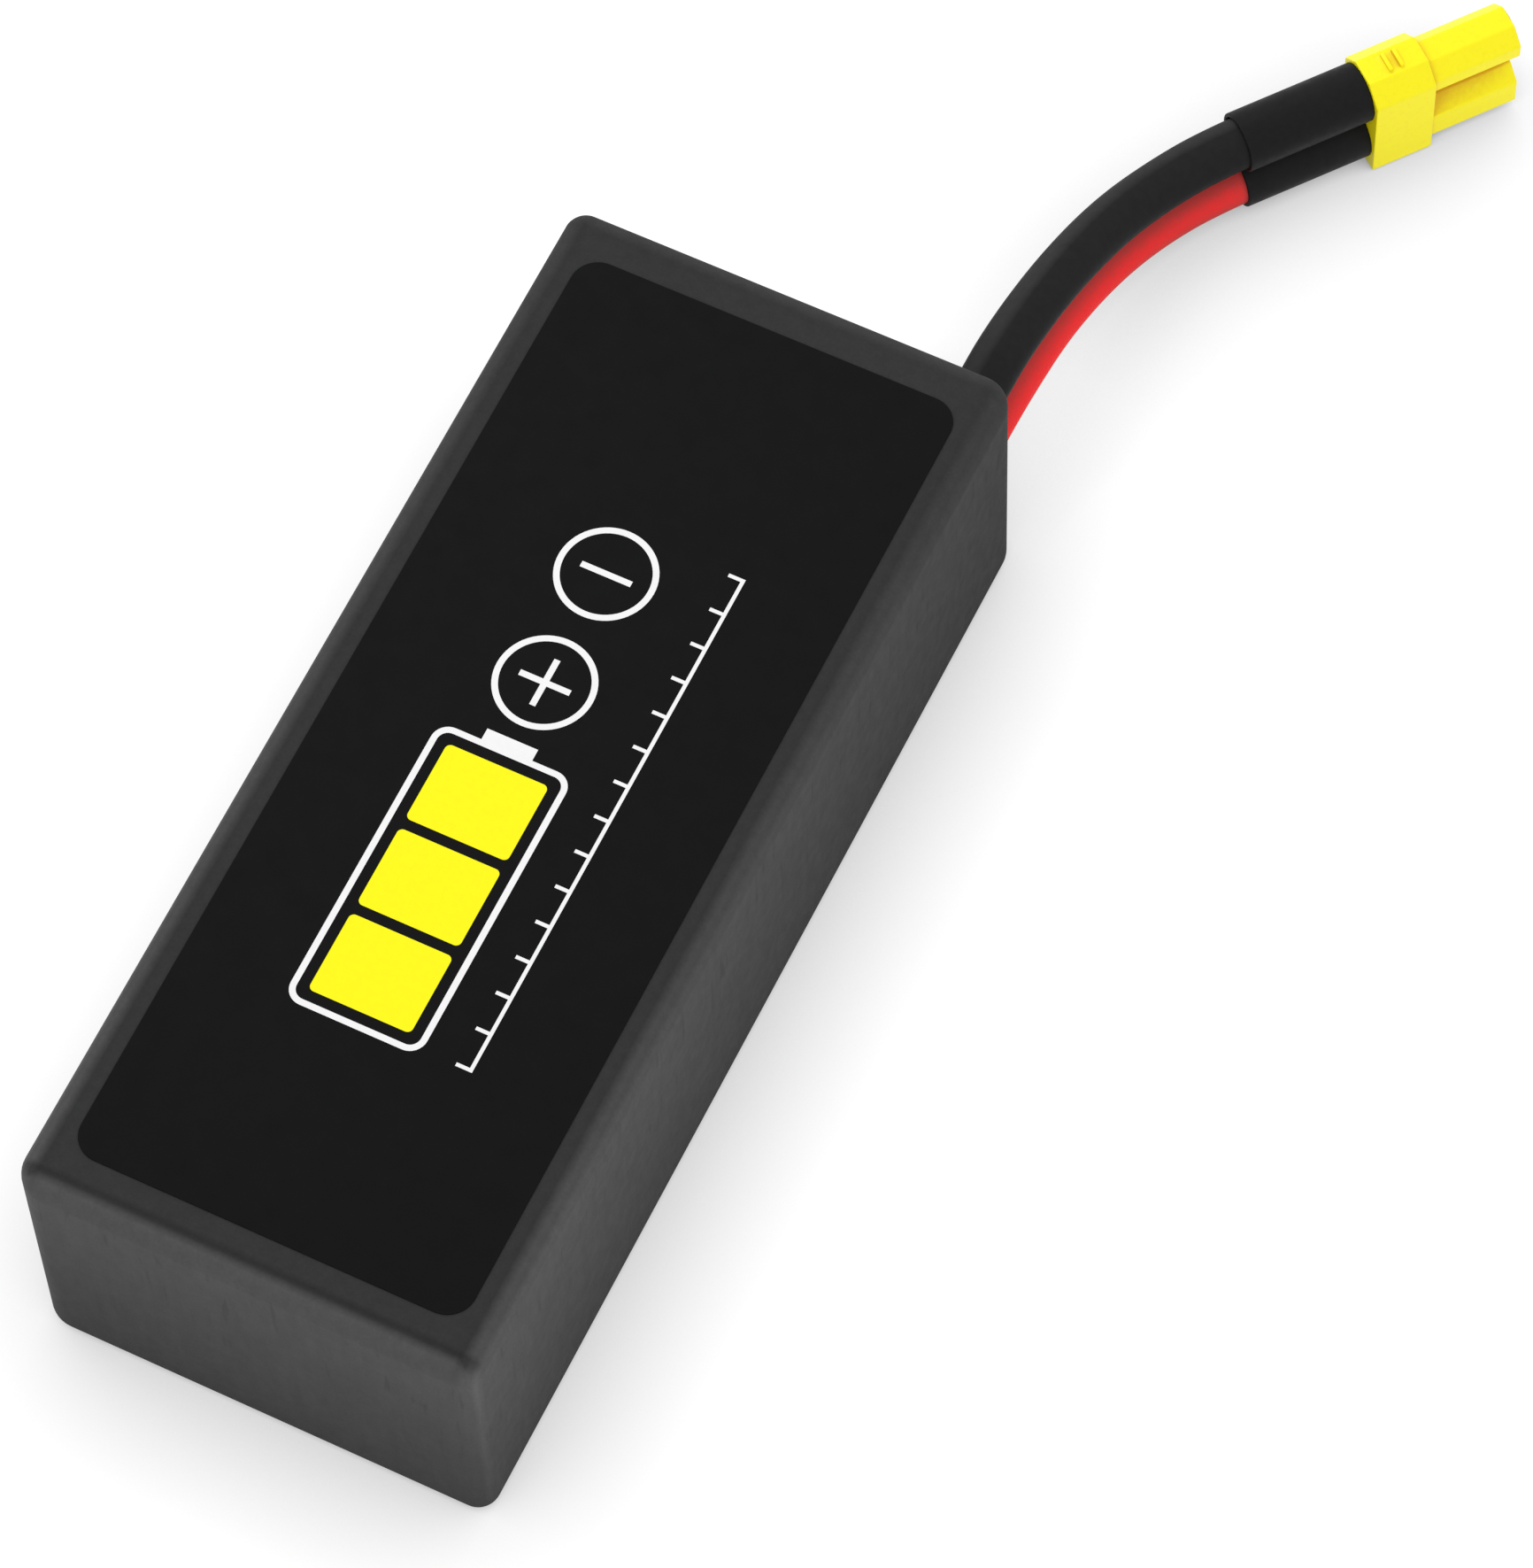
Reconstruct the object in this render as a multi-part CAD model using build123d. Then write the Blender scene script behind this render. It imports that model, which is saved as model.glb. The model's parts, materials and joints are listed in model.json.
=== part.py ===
from build123d import *

import math
import os

# Lithium polymer pack: three pouch cells, a protection board and two leads to a connector.
# Millimetres. +X is the width, +Y runs along the pack towards the leads, +Z is up.
# The origin is the centre of the pack's underside. The case is sized around the cells.

# Cells and the pads between them
CELL_NAMES = ("bottom", "middle", "top")
CELL_WIDTH = 30.7
CELL_LENGTH = 61.5
CELL_THICKNESS = 5.9
CELL_EDGE_RADIUS = 1.2
CELL_SIDE_GAP = 0.3
SEAM_THICKNESS = 0.15
TERRACE_INSET = 1.35
TERRACE_LENGTH = 4.0
TERRACE_THICKNESS = 0.4
TAPE_THICKNESS = 0.2
BASE_PAD_THICKNESS = 0.4
TOP_PAD_THICKNESS = 0.6
FRONT_PAD_THICKNESS = 2.0
PAD_INSET = 2.0

# Tabs, their sealing strips and the strips that tap each junction
TAB_WIDTH = 6.0
TAB_THICKNESS = 0.2
TAB_OFFSET = 8.0
TAB_REACH = 2.6
TAB_LEG = 4.2
END_TAB_LEG = 2.4
SEAL_WIDTH = 8.0
SEAL_LENGTH = 0.8
TAP_WIDTH = 3.0
TAP_HEIGHT = 2.0
TAP_THICKNESS = 0.15
TAP_SOLDER = 0.5

# Insulation sheet and protection board
SHEET_THICKNESS = 0.3
SHEET_GAP = 0.6
SHEET_SLOT_CLEARANCE = 0.3
BOARD_THICKNESS = 1.0
BOARD_SIDE_GAP = 0.3
BOARD_TOP_GAP = 0.2
BOARD_SLOT_CLEARANCE = 0.05
RIB_THICKNESS = 0.8
RIB_DEPTH = 0.9
REAR_CHAMBER = 6.3

# Parts on the board: width along X, height along Z, thickness along Y. The places are
# distances along X from the board's left edge or from the leads, and up from its middle.
MOSFET_SIZE = (5.0, 6.0, 1.0)
MOSFET_GRID = (2, 2)
MOSFET_PITCH = (5.6, 7.4)
MOSFET_FROM_EDGE = (6.15, -1.2)
CAPACITOR_SIZE = (0.8, 1.6, 0.8)
CAPACITOR_GRID = (5, 1)
CAPACITOR_PITCH = (1.6, 2.4)
CAPACITORS_FROM_EDGE = (6.15, 7.0)
CHIP_SIZE = (4.4, 5.0, 1.0)
CHIP_FROM_LEADS = (-10.6, 3.2)
SENSE_SIZE = (6.3, 3.1, 0.6)
SENSE_GRID = (1, 2)
SENSE_PITCH = (7.0, 4.0)
SENSE_FROM_LEADS = (-9.2, -4.4)
RESISTOR_SIZE = (0.8, 1.6, 0.45)
RESISTOR_GRID = (2, 3)
RESISTOR_PITCH = (1.6, 2.4)
RESISTORS_FROM_LEADS = (-6.0, 3.2)

# Case, shrink film and label
WALL = 0.9
FLOOR = 1.1
LID_RIM = 1.1
LID_PLUG = 0.4
LID_CLEARANCE = 0.1
CASE_CORNER_RADIUS = 1.95
CASE_EDGE_RADIUS = 0.95
FILM = 0.4
FILM_GAP = 0.05
FILM_LIP = 3.0
FILM_OPENING_RADIUS = 1.6
NOTCH_CLEARANCE = 0.3
LABEL_THICKNESS = 0.1
LABEL_SIDE_MARGIN = 2.55
LABEL_END_MARGIN = 3.6
LABEL_CORNER_RADIUS = 2.3

# Leads and their grommet
LEAD_DIAMETER = 3.8
LEAD_SPACING = 6.2
LEAD_RIB_GAP = 0.3
CONDUCTOR_DIAMETER = 2.0
CONDUCTOR_REVEAL = 2.2
CONDUCTOR_STICK_OUT = 0.6
BOARD_HOLE_CLEARANCE = 0.1
SOLDER_RADIUS = 1.65
SOLDER_TOP_RADIUS = 1.15
SOLDER_HEIGHT = 1.2
GROMMET_WALL = 0.5
GROMMET_FIT = 0.05
GROMMET_CORNER_RADIUS = 1.5
GROMMET_FLANGE = 0.6
GROMMET_OVERLAP = 0.8
GROMMET_LUG_WIDTH = 3.0
GROMMET_BOOT = 2.0
GROMMET_CHAMFER = 0.4

# Each lead runs straight out past the rear face, droops through its own points, measured
# from its exit, and reaches its contact's axis LAST_BEND behind the collar.
LEAD_EXIT_RUN = 3.0
NEGATIVE_ROUTE = [
    (0.0, 7.6, -0.45),
    (0.33, 14.35, -2.2),
    (1.15, 21.21, -4.6),
    (2.71, 26.6, -6.3),
]
POSITIVE_ROUTE = [
    (-0.02, 7.5, -0.45),
    (-0.01, 14.14, -2.0),
    (0.76, 21.08, -4.0),
    (2.42, 26.67, -5.3),
]
LAST_BEND = 11.3
LEAD_END = 4.76
ARC_SHARE = 0.45

# Connector: the middle of its rear face from the middle of the exits, and its turn from +Y
CONNECTOR_OFFSET = (12.3, 40.5, -6.4)
CONNECTOR_TURN = 38.5
COLLAR_SHOULDER = 0.6
COLLAR_THICKNESS = 5.1
COLLAR_LENGTH = 4.8
COLLAR_CHAMFER = 1.45
COLLAR_EDGE_RADIUS = 0.25
GRIP_RIB_COUNT = 2
GRIP_RIB_PITCH = 0.9
GRIP_RIB_WIDTH = 0.35
GRIP_RIB_HEIGHT = 0.2
GRIP_RIB_INSET = 0.15
PRONG_LENGTH = 7.1
PRONG_THICKNESS = 4.15
PRONG_HEIGHT = 3.55
PRONG_CHAMFER = 1.15
PRONG_MOUTH_CHAMFER = 0.25
CONTACT_DIAMETER = 2.6
CONTACT_FIT = 0.05
CONTACT_RECESS = 0.4
SOCKET_DIAMETER = 2.0
SOCKET_DEPTH = 8.0
SLIT_WIDTH = 0.3
SLIT_LENGTH = 6.0
CUP_STEP = 0.1
CUP_WALL = 0.6
CUP_FLOOR = 0.8
CUP_GAP = 0.3
SLEEVE_LENGTH = 9.9
SLEEVE_WALL = 0.3
SLEEVE_FIT = 0.06
SLEEVE_GAP = 0.23

# Heights, from the underside of the film up
cell_pitch = CELL_THICKNESS + TAPE_THICKNESS
case_bottom = FILM + FILM_GAP
floor_z = case_bottom + FLOOR
stack_bottom = floor_z + BASE_PAD_THICKNESS
stack_top = stack_bottom + len(CELL_NAMES) * cell_pitch - TAPE_THICKNESS
ceiling_z = stack_top + TOP_PAD_THICKNESS
rim_z = ceiling_z + LID_PLUG
case_top = rim_z + LID_RIM
pack_height = case_top + FILM_GAP + FILM
mid_z = pack_height / 2

# Widths, from the cells out
inner_width = CELL_WIDTH + 2 * CELL_SIDE_GAP
case_width = inner_width + 2 * WALL
pack_width = case_width + 2 * (FILM_GAP + FILM)
inner_corner_radius = CASE_CORNER_RADIUS - WALL
board_left = BOARD_SIDE_GAP - inner_width / 2

# Lengths, first counted from the inside of the front wall
cell_end = FRONT_PAD_THICKNESS + CELL_LENGTH
terrace_end = cell_end + TERRACE_LENGTH
first_leg = terrace_end + TAB_REACH
tap_face = first_leg + 2 * TAB_THICKNESS
sheet_front = tap_face + TAP_THICKNESS + SHEET_GAP
rib_front = sheet_front + SHEET_THICKNESS
board_front = rib_front + RIB_THICKNESS + BOARD_SLOT_CLEARANCE
board_rear = board_front + BOARD_THICKNESS
inner_length = board_rear + REAR_CHAMBER
case_length = inner_length + 2 * WALL
pack_length = case_length + 2 * (FILM_GAP + FILM)
inner_front = -inner_length / 2
inner_rear = inner_length / 2
case_rear = case_length / 2

# The two leads leave the rear face one above the other
lead_x = inner_width / 2 - RIB_DEPTH - LEAD_RIB_GAP - SOLDER_RADIUS
exit_point = Vector(lead_x, pack_length / 2, mid_z)
grommet_width = LEAD_DIAMETER + 2 * GROMMET_WALL
grommet_height = LEAD_SPACING + grommet_width
flange_height = grommet_height + 2 * GROMMET_OVERLAP

# The contacts stand as far apart as the two sleeves need
cup_radius = LEAD_DIAMETER / 2 - CUP_STEP
cup_length = LEAD_END - CUP_GAP
sleeve_radius = LEAD_DIAMETER / 2 + SLEEVE_FIT
contact_pitch = 2 * (sleeve_radius + SLEEVE_WALL) + SLEEVE_GAP
collar_height = contact_pitch + PRONG_HEIGHT + 2 * COLLAR_SHOULDER


def slab(x0, x1, y0, y1, z0, z1):
    """A block between two corners; y is counted from the inside of the front wall."""
    middle = Pos((x0 + x1) / 2, inner_front + (y0 + y1) / 2, (z0 + z1) / 2)
    return middle * Box(x1 - x0, y1 - y0, z1 - z0)


def upright(width, length, corner, z0, z1):
    """A block with rounded vertical corners, centred on the pack."""
    return Pos(0, 0, z0) * extrude(RectangleRounded(width, length, corner), z1 - z0)


def rear_block(width, height, corner, y0, y1, x=0.0, z=mid_z):
    """A block with rounded corners that runs along Y from y0 to y1."""
    plane = Plane(origin=(x, y0, z), x_dir=(1, 0, 0), z_dir=(0, 1, 0))
    return plane * extrude(RectangleRounded(width, height, corner), y1 - y0)


def rod(radius, y0, y1, x, z):
    """A round rod along Y; y is counted from the inside of the front wall."""
    plane = Plane(origin=(x, inner_front + y0, z), x_dir=(1, 0, 0), z_dir=(0, 1, 0))
    return plane * extrude(Circle(radius), y1 - y0)


def lead_heights():
    return (mid_z + LEAD_SPACING / 2, mid_z - LEAD_SPACING / 2)


def case_envelope(grow):
    """The outer shape of the closed case, grown by one distance on every side."""
    width = case_width + 2 * grow
    length = case_length + 2 * grow
    block = upright(width, length, CASE_CORNER_RADIUS + grow, case_bottom - grow, case_top + grow)
    top_edges = block.faces().sort_by(Axis.Z)[-1].edges()
    bottom_edges = block.faces().sort_by(Axis.Z)[0].edges()
    return fillet(top_edges + bottom_edges, CASE_EDGE_RADIUS + grow)


# Case, film and label

def shrink_jacket():
    """The film: closed at the front, folded to a lip round an opening at the rear."""
    depth = CASE_CORNER_RADIUS + FILM_GAP + FILM
    y0 = pack_length / 2 - depth
    y1 = pack_length / 2 + depth
    opening_width = pack_width - 2 * FILM_LIP
    opening_height = pack_height - 2 * FILM_LIP
    opening = rear_block(opening_width, opening_height, FILM_OPENING_RADIUS, y0, y1)
    notch_width = grommet_width + 2 * NOTCH_CLEARANCE
    notch_height = flange_height + 2 * NOTCH_CLEARANCE
    notch = rear_block(notch_width, notch_height, GROMMET_CORNER_RADIUS, y0, y1, lead_x)
    return case_envelope(FILM_GAP + FILM) - case_envelope(FILM_GAP) - opening - notch


def label():
    width = pack_width - 2 * LABEL_SIDE_MARGIN
    length = pack_length - 2 * LABEL_END_MARGIN
    return upright(width, length, LABEL_CORNER_RADIUS, pack_height, pack_height + LABEL_THICKNESS)


def board_ribs():
    """Two ribs on each side wall that hold the board between them."""
    ribs = []
    rear_rib = board_rear + BOARD_SLOT_CLEARANCE
    for side in (-1, 1):
        wall_x = side * inner_width / 2
        tip_x = side * (inner_width / 2 - RIB_DEPTH)
        x0 = min(wall_x, tip_x)
        x1 = max(wall_x, tip_x)
        for y in (rib_front, rear_rib):
            ribs.append(slab(x0, x1, y, y + RIB_THICKNESS, floor_z, ceiling_z - LID_CLEARANCE))
    return ribs


def tray():
    above = upright(2 * case_width, 2 * case_length, WALL, rim_z, case_top + WALL)
    cavity = upright(inner_width, inner_length, inner_corner_radius, floor_z, case_top)
    body = case_envelope(0) - above - cavity
    window_width = grommet_width + 2 * GROMMET_FIT
    window_height = grommet_height + 2 * GROMMET_FIT
    window = rear_block(window_width, window_height, GROMMET_CORNER_RADIUS,
                        inner_rear - inner_corner_radius, case_rear + WALL, lead_x)
    for rib in board_ribs():
        body += rib
    return body - window


def tray_lid():
    below = upright(2 * case_width, 2 * case_length, WALL, case_bottom - WALL, rim_z)
    plate = case_envelope(0) - below
    plug_width = inner_width - 2 * LID_CLEARANCE
    plug_length = inner_length - 2 * LID_CLEARANCE
    return plate + upright(plug_width, plug_length, inner_corner_radius, ceiling_z, rim_z)


# Cells and pads

def cell_middle_z(index):
    return stack_bottom + index * cell_pitch + CELL_THICKNESS / 2


def pouch_cell(index):
    """One pouch: the body, its folded side seams and the sealed terrace at the tab end."""
    middle = cell_middle_z(index)
    half_width = CELL_WIDTH / 2
    half_height = CELL_THICKNESS / 2
    core_width = half_width - SEAM_THICKNESS
    seam_height = half_height - CELL_EDGE_RADIUS
    half_terrace = TERRACE_THICKNESS / 2
    terrace_side = half_width - TERRACE_INSET
    body = slab(-core_width, core_width, FRONT_PAD_THICKNESS, cell_end,
                middle - half_height, middle + half_height)
    body = fillet(body.edges().filter_by(Axis.Y), CELL_EDGE_RADIUS)
    seams = slab(-half_width, half_width, FRONT_PAD_THICKNESS, cell_end,
                 middle - seam_height, middle + seam_height)
    terrace = slab(-terrace_side, terrace_side, cell_end, terrace_end,
                   middle - half_terrace, middle + half_terrace)
    return body + seams + terrace


def stack_pad(bottom, top):
    """A flat pad on or under a cell, a little smaller than the cell."""
    half_width = CELL_WIDTH / 2 - PAD_INSET
    return slab(-half_width, half_width, FRONT_PAD_THICKNESS + PAD_INSET,
                cell_end - PAD_INSET, bottom, top)


def cell_tape(index):
    bottom = stack_bottom + index * cell_pitch + CELL_THICKNESS
    return stack_pad(bottom, bottom + TAPE_THICKNESS)


def front_pad():
    half_width = CELL_WIDTH / 2 - PAD_INSET
    return slab(-half_width, half_width, 0, FRONT_PAD_THICKNESS, stack_bottom, stack_top)


# Tabs and taps. The cells alternate, so each left or right pair of legs makes a junction.

def aluminium_side(index):
    return -1 if index % 2 == 0 else 1


def tab(index, side, leg_top, leg_bottom, leg_face):
    """A tab that leaves the terrace and turns up or down to its weld."""
    middle = cell_middle_z(index)
    half_metal = TAB_THICKNESS / 2
    x0 = side * TAB_OFFSET - TAB_WIDTH / 2
    x1 = x0 + TAB_WIDTH
    strip = slab(x0, x1, terrace_end, leg_face + TAB_THICKNESS,
                 middle - half_metal, middle + half_metal)
    leg = slab(x0, x1, leg_face, leg_face + TAB_THICKNESS, leg_bottom, leg_top)
    return strip + leg


def aluminium_tabs():
    """Each aluminium leg turns up; the top one ends alone as the pack's positive end."""
    tabs = []
    last = len(CELL_NAMES) - 1
    for index in range(len(CELL_NAMES)):
        middle = cell_middle_z(index)
        leg = END_TAB_LEG if index == last else TAB_LEG
        face = first_leg + TAB_THICKNESS if index == last else first_leg
        tabs.append(tab(index, aluminium_side(index), middle + leg, middle, face))
    return tabs


def nickel_tabs():
    """Each nickel leg turns down; the bottom one ends alone as the pack's negative end."""
    tabs = []
    for index in range(len(CELL_NAMES)):
        middle = cell_middle_z(index)
        leg = END_TAB_LEG if index == 0 else TAB_LEG
        face = first_leg + TAB_THICKNESS
        tabs.append(tab(index, -aluminium_side(index), middle, middle - leg, face))
    return tabs


def tab_seals():
    """Sealing strips round each tab where it leaves the terrace."""
    seals = []
    for index in range(len(CELL_NAMES)):
        middle = cell_middle_z(index)
        for side in (-1, 1):
            x = side * TAB_OFFSET
            strip = slab(x - SEAL_WIDTH / 2, x + SEAL_WIDTH / 2, terrace_end,
                         terrace_end + SEAL_LENGTH,
                         middle - TERRACE_THICKNESS / 2, middle + TERRACE_THICKNESS / 2)
            metal = slab(x - TAB_WIDTH / 2, x + TAB_WIDTH / 2, terrace_end,
                         terrace_end + SEAL_LENGTH,
                         middle - TAB_THICKNESS / 2, middle + TAB_THICKNESS / 2)
            seals.append(strip - metal)
    return seals


def tap_places():
    """Side and height of each tap: both ends of the stack and the junctions between."""
    last = len(CELL_NAMES) - 1
    places = [(-aluminium_side(0), cell_middle_z(0) - END_TAB_LEG / 2)]
    for index in range(last):
        height = (cell_middle_z(index) + cell_middle_z(index + 1)) / 2
        places.append((aluminium_side(index), height))
    places.append((aluminium_side(last), cell_middle_z(last) + END_TAB_LEG / 2))
    return places


def tap_strips():
    strips = []
    for side, z in tap_places():
        x0 = side * TAB_OFFSET - TAP_WIDTH / 2
        x1 = x0 + TAP_WIDTH
        foot = z - TAP_HEIGHT / 2
        plate = slab(x0, x1, tap_face, tap_face + TAP_THICKNESS, foot, foot + TAP_HEIGHT)
        arm = slab(x0, x1, tap_face, board_front, foot, foot + TAP_THICKNESS)
        strips.append(plate + arm)
    return strips


def tap_solder():
    joints = []
    for side, z in tap_places():
        x0 = side * TAB_OFFSET - TAP_WIDTH / 2
        top_of_arm = z - TAP_HEIGHT / 2 + TAP_THICKNESS
        joint = slab(x0, x0 + TAP_WIDTH, board_front - TAP_SOLDER, board_front,
                     top_of_arm, top_of_arm + TAP_SOLDER)
        front_edge = joint.edges().filter_by(Axis.X).group_by(Axis.Y)[0].sort_by(Axis.Z)[-1]
        joints.append(chamfer(front_edge, TAP_SOLDER / 2))
    return joints


# Insulation sheet, board and what stands on the board

def board_outline(y0, y1):
    return slab(board_left, -board_left, y0, y1, floor_z, ceiling_z - BOARD_TOP_GAP)


def insulation_sheet():
    sheet = board_outline(sheet_front, sheet_front + SHEET_THICKNESS)
    for side, z in tap_places():
        x0 = side * TAB_OFFSET - TAP_WIDTH / 2 - SHEET_SLOT_CLEARANCE
        x1 = side * TAB_OFFSET + TAP_WIDTH / 2 + SHEET_SLOT_CLEARANCE
        foot = z - TAP_HEIGHT / 2
        sheet -= slab(x0, x1, sheet_front, sheet_front + SHEET_THICKNESS,
                      foot - SHEET_SLOT_CLEARANCE, foot + TAP_THICKNESS + SHEET_SLOT_CLEARANCE)
    return sheet


def protection_board():
    board = board_outline(board_front, board_rear)
    radius = CONDUCTOR_DIAMETER / 2 + BOARD_HOLE_CLEARANCE
    for z in lead_heights():
        board -= rod(radius, board_front, board_rear, lead_x, z)
    return board


def board_parts(size, start_x, place, grid=(1, 1), pitch=(0.0, 0.0)):
    """A grid of equal parts on the rear face; its middle is placed from start_x."""
    width, height, thickness = size
    board_middle = (floor_z + ceiling_z - BOARD_TOP_GAP) / 2
    parts = []
    for step in GridLocations(pitch[0], pitch[1], grid[0], grid[1]):
        x = start_x + place[0] + step.position.X
        z = board_middle + place[1] + step.position.Y
        parts.append(slab(x - width / 2, x + width / 2, board_rear, board_rear + thickness,
                          z - height / 2, z + height / 2))
    return parts


# Leads, solder and grommet

def lead_start():
    return inner_front + board_rear + CONDUCTOR_REVEAL


def board_conductors():
    y0 = board_front - CONDUCTOR_STICK_OUT
    y1 = board_rear + CONDUCTOR_REVEAL
    return [rod(CONDUCTOR_DIAMETER / 2, y0, y1, lead_x, z) for z in lead_heights()]


def lead_solder():
    """A cone of solder round each conductor on the rear face of the board."""
    joints = []
    for z in lead_heights():
        plane = Plane(origin=(lead_x, inner_front + board_rear, z), x_dir=(1, 0, 0),
                      z_dir=(0, 1, 0))
        cone = plane * Cone(SOLDER_RADIUS, SOLDER_TOP_RADIUS, SOLDER_HEIGHT,
                            align=(Align.CENTER, Align.CENTER, Align.MIN))
        wire = rod(CONDUCTOR_DIAMETER / 2, board_rear, board_rear + SOLDER_HEIGHT, lead_x, z)
        joints.append(cone - wire)
    return joints


def lead_grommet():
    """A rubber block in the rear wall: flange outside, lugs inside, two holes."""
    inside = inner_rear - GROMMET_FLANGE
    core = rear_block(grommet_width, grommet_height, GROMMET_CORNER_RADIUS,
                      inside, case_rear + GROMMET_BOOT, lead_x)
    end_edges = core.faces().sort_by(Axis.Y)[-1].edges()
    core = chamfer(end_edges, GROMMET_CHAMFER)
    flange = rear_block(grommet_width, flange_height, GROMMET_CORNER_RADIUS,
                        case_rear, case_rear + GROMMET_FLANGE, lead_x)
    lugs = rear_block(GROMMET_LUG_WIDTH, flange_height, GROMMET_OVERLAP,
                      inside, inner_rear, lead_x)
    body = core + flange + lugs
    radius = LEAD_DIAMETER / 2 + GROMMET_FIT
    for z in lead_heights():
        body -= rod(radius, board_rear, inner_length + WALL + 2 * GROMMET_BOOT, lead_x, z)
    return body


def route_radii(points):
    """The largest arc that each corner's shorter run allows."""
    radii = []
    for before, here, after in zip(points, points[1:], points[2:]):
        turn = math.radians((here - before).get_angle(after - here))
        shorter = min((here - before).length, (after - here).length)
        radii.append(ARC_SHARE * shorter / math.tan(turn / 2))
    return radii


def lead_points(side, route):
    """Side is 1 for the lead above, -1 for the one below."""
    own_exit = exit_point + Vector(0, 0, side * LEAD_SPACING / 2)
    start = Vector(own_exit.X, lead_start(), own_exit.Z)
    points = [start, own_exit + Vector(0, LEAD_EXIT_RUN, 0)]
    points += [own_exit + Vector(*offset) for offset in route]
    contact_axis = connector_plane().location * contact_offset(side)
    points += [(contact_axis * Pos(0, 0, -distance)).position for distance in (LAST_BEND, LEAD_END)]
    return points


def lead(name, side, route):
    """One insulated lead: straight runs joined by tangent arcs."""
    points = lead_points(side, route)
    radii = route_radii(points)
    print(name, "radii", [round(radius, 1) for radius in radii])
    path = FilletPolyline(*points, radius=radii)
    section = Plane(origin=points[0], z_dir=path % 0) * Circle(LEAD_DIAMETER / 2)
    tube = sweep(section, path=path)
    expected = math.pi * LEAD_DIAMETER ** 2 / 4 * path.length
    print(name, "length", round(path.length, 2), "volume share", round(tube.volume / expected, 4))
    return tube


# Connector, modelled with its axis along local Z, its height along local X, and moved last

def connector_plane():
    turn = math.radians(CONNECTOR_TURN)
    axis = (math.sin(turn), math.cos(turn), 0)
    return Plane(origin=exit_point + Vector(*CONNECTOR_OFFSET), x_dir=(0, 0, 1), z_dir=axis)


def contact_offset(side):
    return Pos(side * contact_pitch / 2, 0, 0)


def prong():
    """One of the two fingers round a socket, with all four long edges chamfered."""
    body = Box(PRONG_HEIGHT, PRONG_THICKNESS, PRONG_LENGTH,
               align=(Align.CENTER, Align.CENTER, Align.MIN))
    return chamfer(body.edges().filter_by(Axis.Z), PRONG_CHAMFER)


def keyed_prong():
    """The positive finger keeps its two outer corners square."""
    body = Box(PRONG_HEIGHT, PRONG_THICKNESS, PRONG_LENGTH,
               align=(Align.CENTER, Align.CENTER, Align.MIN))
    inner_edges = body.edges().filter_by(Axis.Z).group_by(Axis.X)[-1]
    return chamfer(inner_edges, PRONG_CHAMFER)


def connector_housing():
    collar = Box(collar_height, COLLAR_THICKNESS, COLLAR_LENGTH,
                 align=(Align.CENTER, Align.CENTER, Align.MIN))
    collar = chamfer(collar.edges().filter_by(Axis.Z).group_by(Axis.X)[-1], COLLAR_CHAMFER)
    square_edges = collar.edges().filter_by(Axis.Z).group_by(Axis.X)[0]
    collar = fillet(square_edges, COLLAR_EDGE_RADIUS)
    rib_length = COLLAR_THICKNESS - 2 * (COLLAR_CHAMFER + GRIP_RIB_INSET)
    grip = Box(GRIP_RIB_HEIGHT, rib_length, GRIP_RIB_WIDTH, align=(Align.MIN, Align.CENTER, Align.CENTER))
    body = collar
    for place in GridLocations(GRIP_RIB_PITCH, 1, GRIP_RIB_COUNT, 1):
        body += Pos(collar_height / 2, 0, COLLAR_LENGTH / 2 + place.position.X) * grip
    body += contact_offset(1) * Pos(0, 0, COLLAR_LENGTH) * prong()
    body += contact_offset(-1) * Pos(0, 0, COLLAR_LENGTH) * keyed_prong()
    radius = CONTACT_DIAMETER / 2 + CONTACT_FIT
    length = COLLAR_LENGTH + PRONG_LENGTH
    bore = Cylinder(radius, length, align=(Align.CENTER, Align.CENTER, Align.MIN))
    mouth = Cone(radius, radius + PRONG_MOUTH_CHAMFER, PRONG_MOUTH_CHAMFER,
                 align=(Align.CENTER, Align.CENTER, Align.MAX))
    for side in (-1, 1):
        body -= contact_offset(side) * bore
        body -= contact_offset(side) * Pos(0, 0, length) * mouth
    return connector_plane() * body


def contact(side):
    """A split socket with a solder cup behind the housing."""
    tip = COLLAR_LENGTH + PRONG_LENGTH - CONTACT_RECESS
    on_axis = (Align.CENTER, Align.CENTER, Align.MIN)
    body = Cylinder(CONTACT_DIAMETER / 2, tip, align=on_axis)
    body += Pos(0, 0, -cup_length) * Cylinder(cup_radius, cup_length, align=on_axis)
    body -= Pos(0, 0, tip - SOCKET_DEPTH) * Cylinder(SOCKET_DIAMETER / 2, SOCKET_DEPTH, align=on_axis)
    cup_depth = cup_length - CUP_FLOOR
    body -= Pos(0, 0, -cup_length) * Cylinder(cup_radius - CUP_WALL, cup_depth, align=on_axis)
    body -= Pos(0, 0, tip - SLIT_LENGTH) * Box(SLIT_WIDTH, CONTACT_DIAMETER, SLIT_LENGTH, align=on_axis)
    return connector_plane() * contact_offset(side) * body


def cup_conductor(side):
    """The bare end of a lead with its solder, which fills the cup."""
    radius = cup_radius - CUP_WALL
    wire = Cylinder(radius, LEAD_END - CUP_FLOOR, align=(Align.CENTER, Align.CENTER, Align.MAX))
    return connector_plane() * contact_offset(side) * Pos(0, 0, -CUP_FLOOR) * wire


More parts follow.
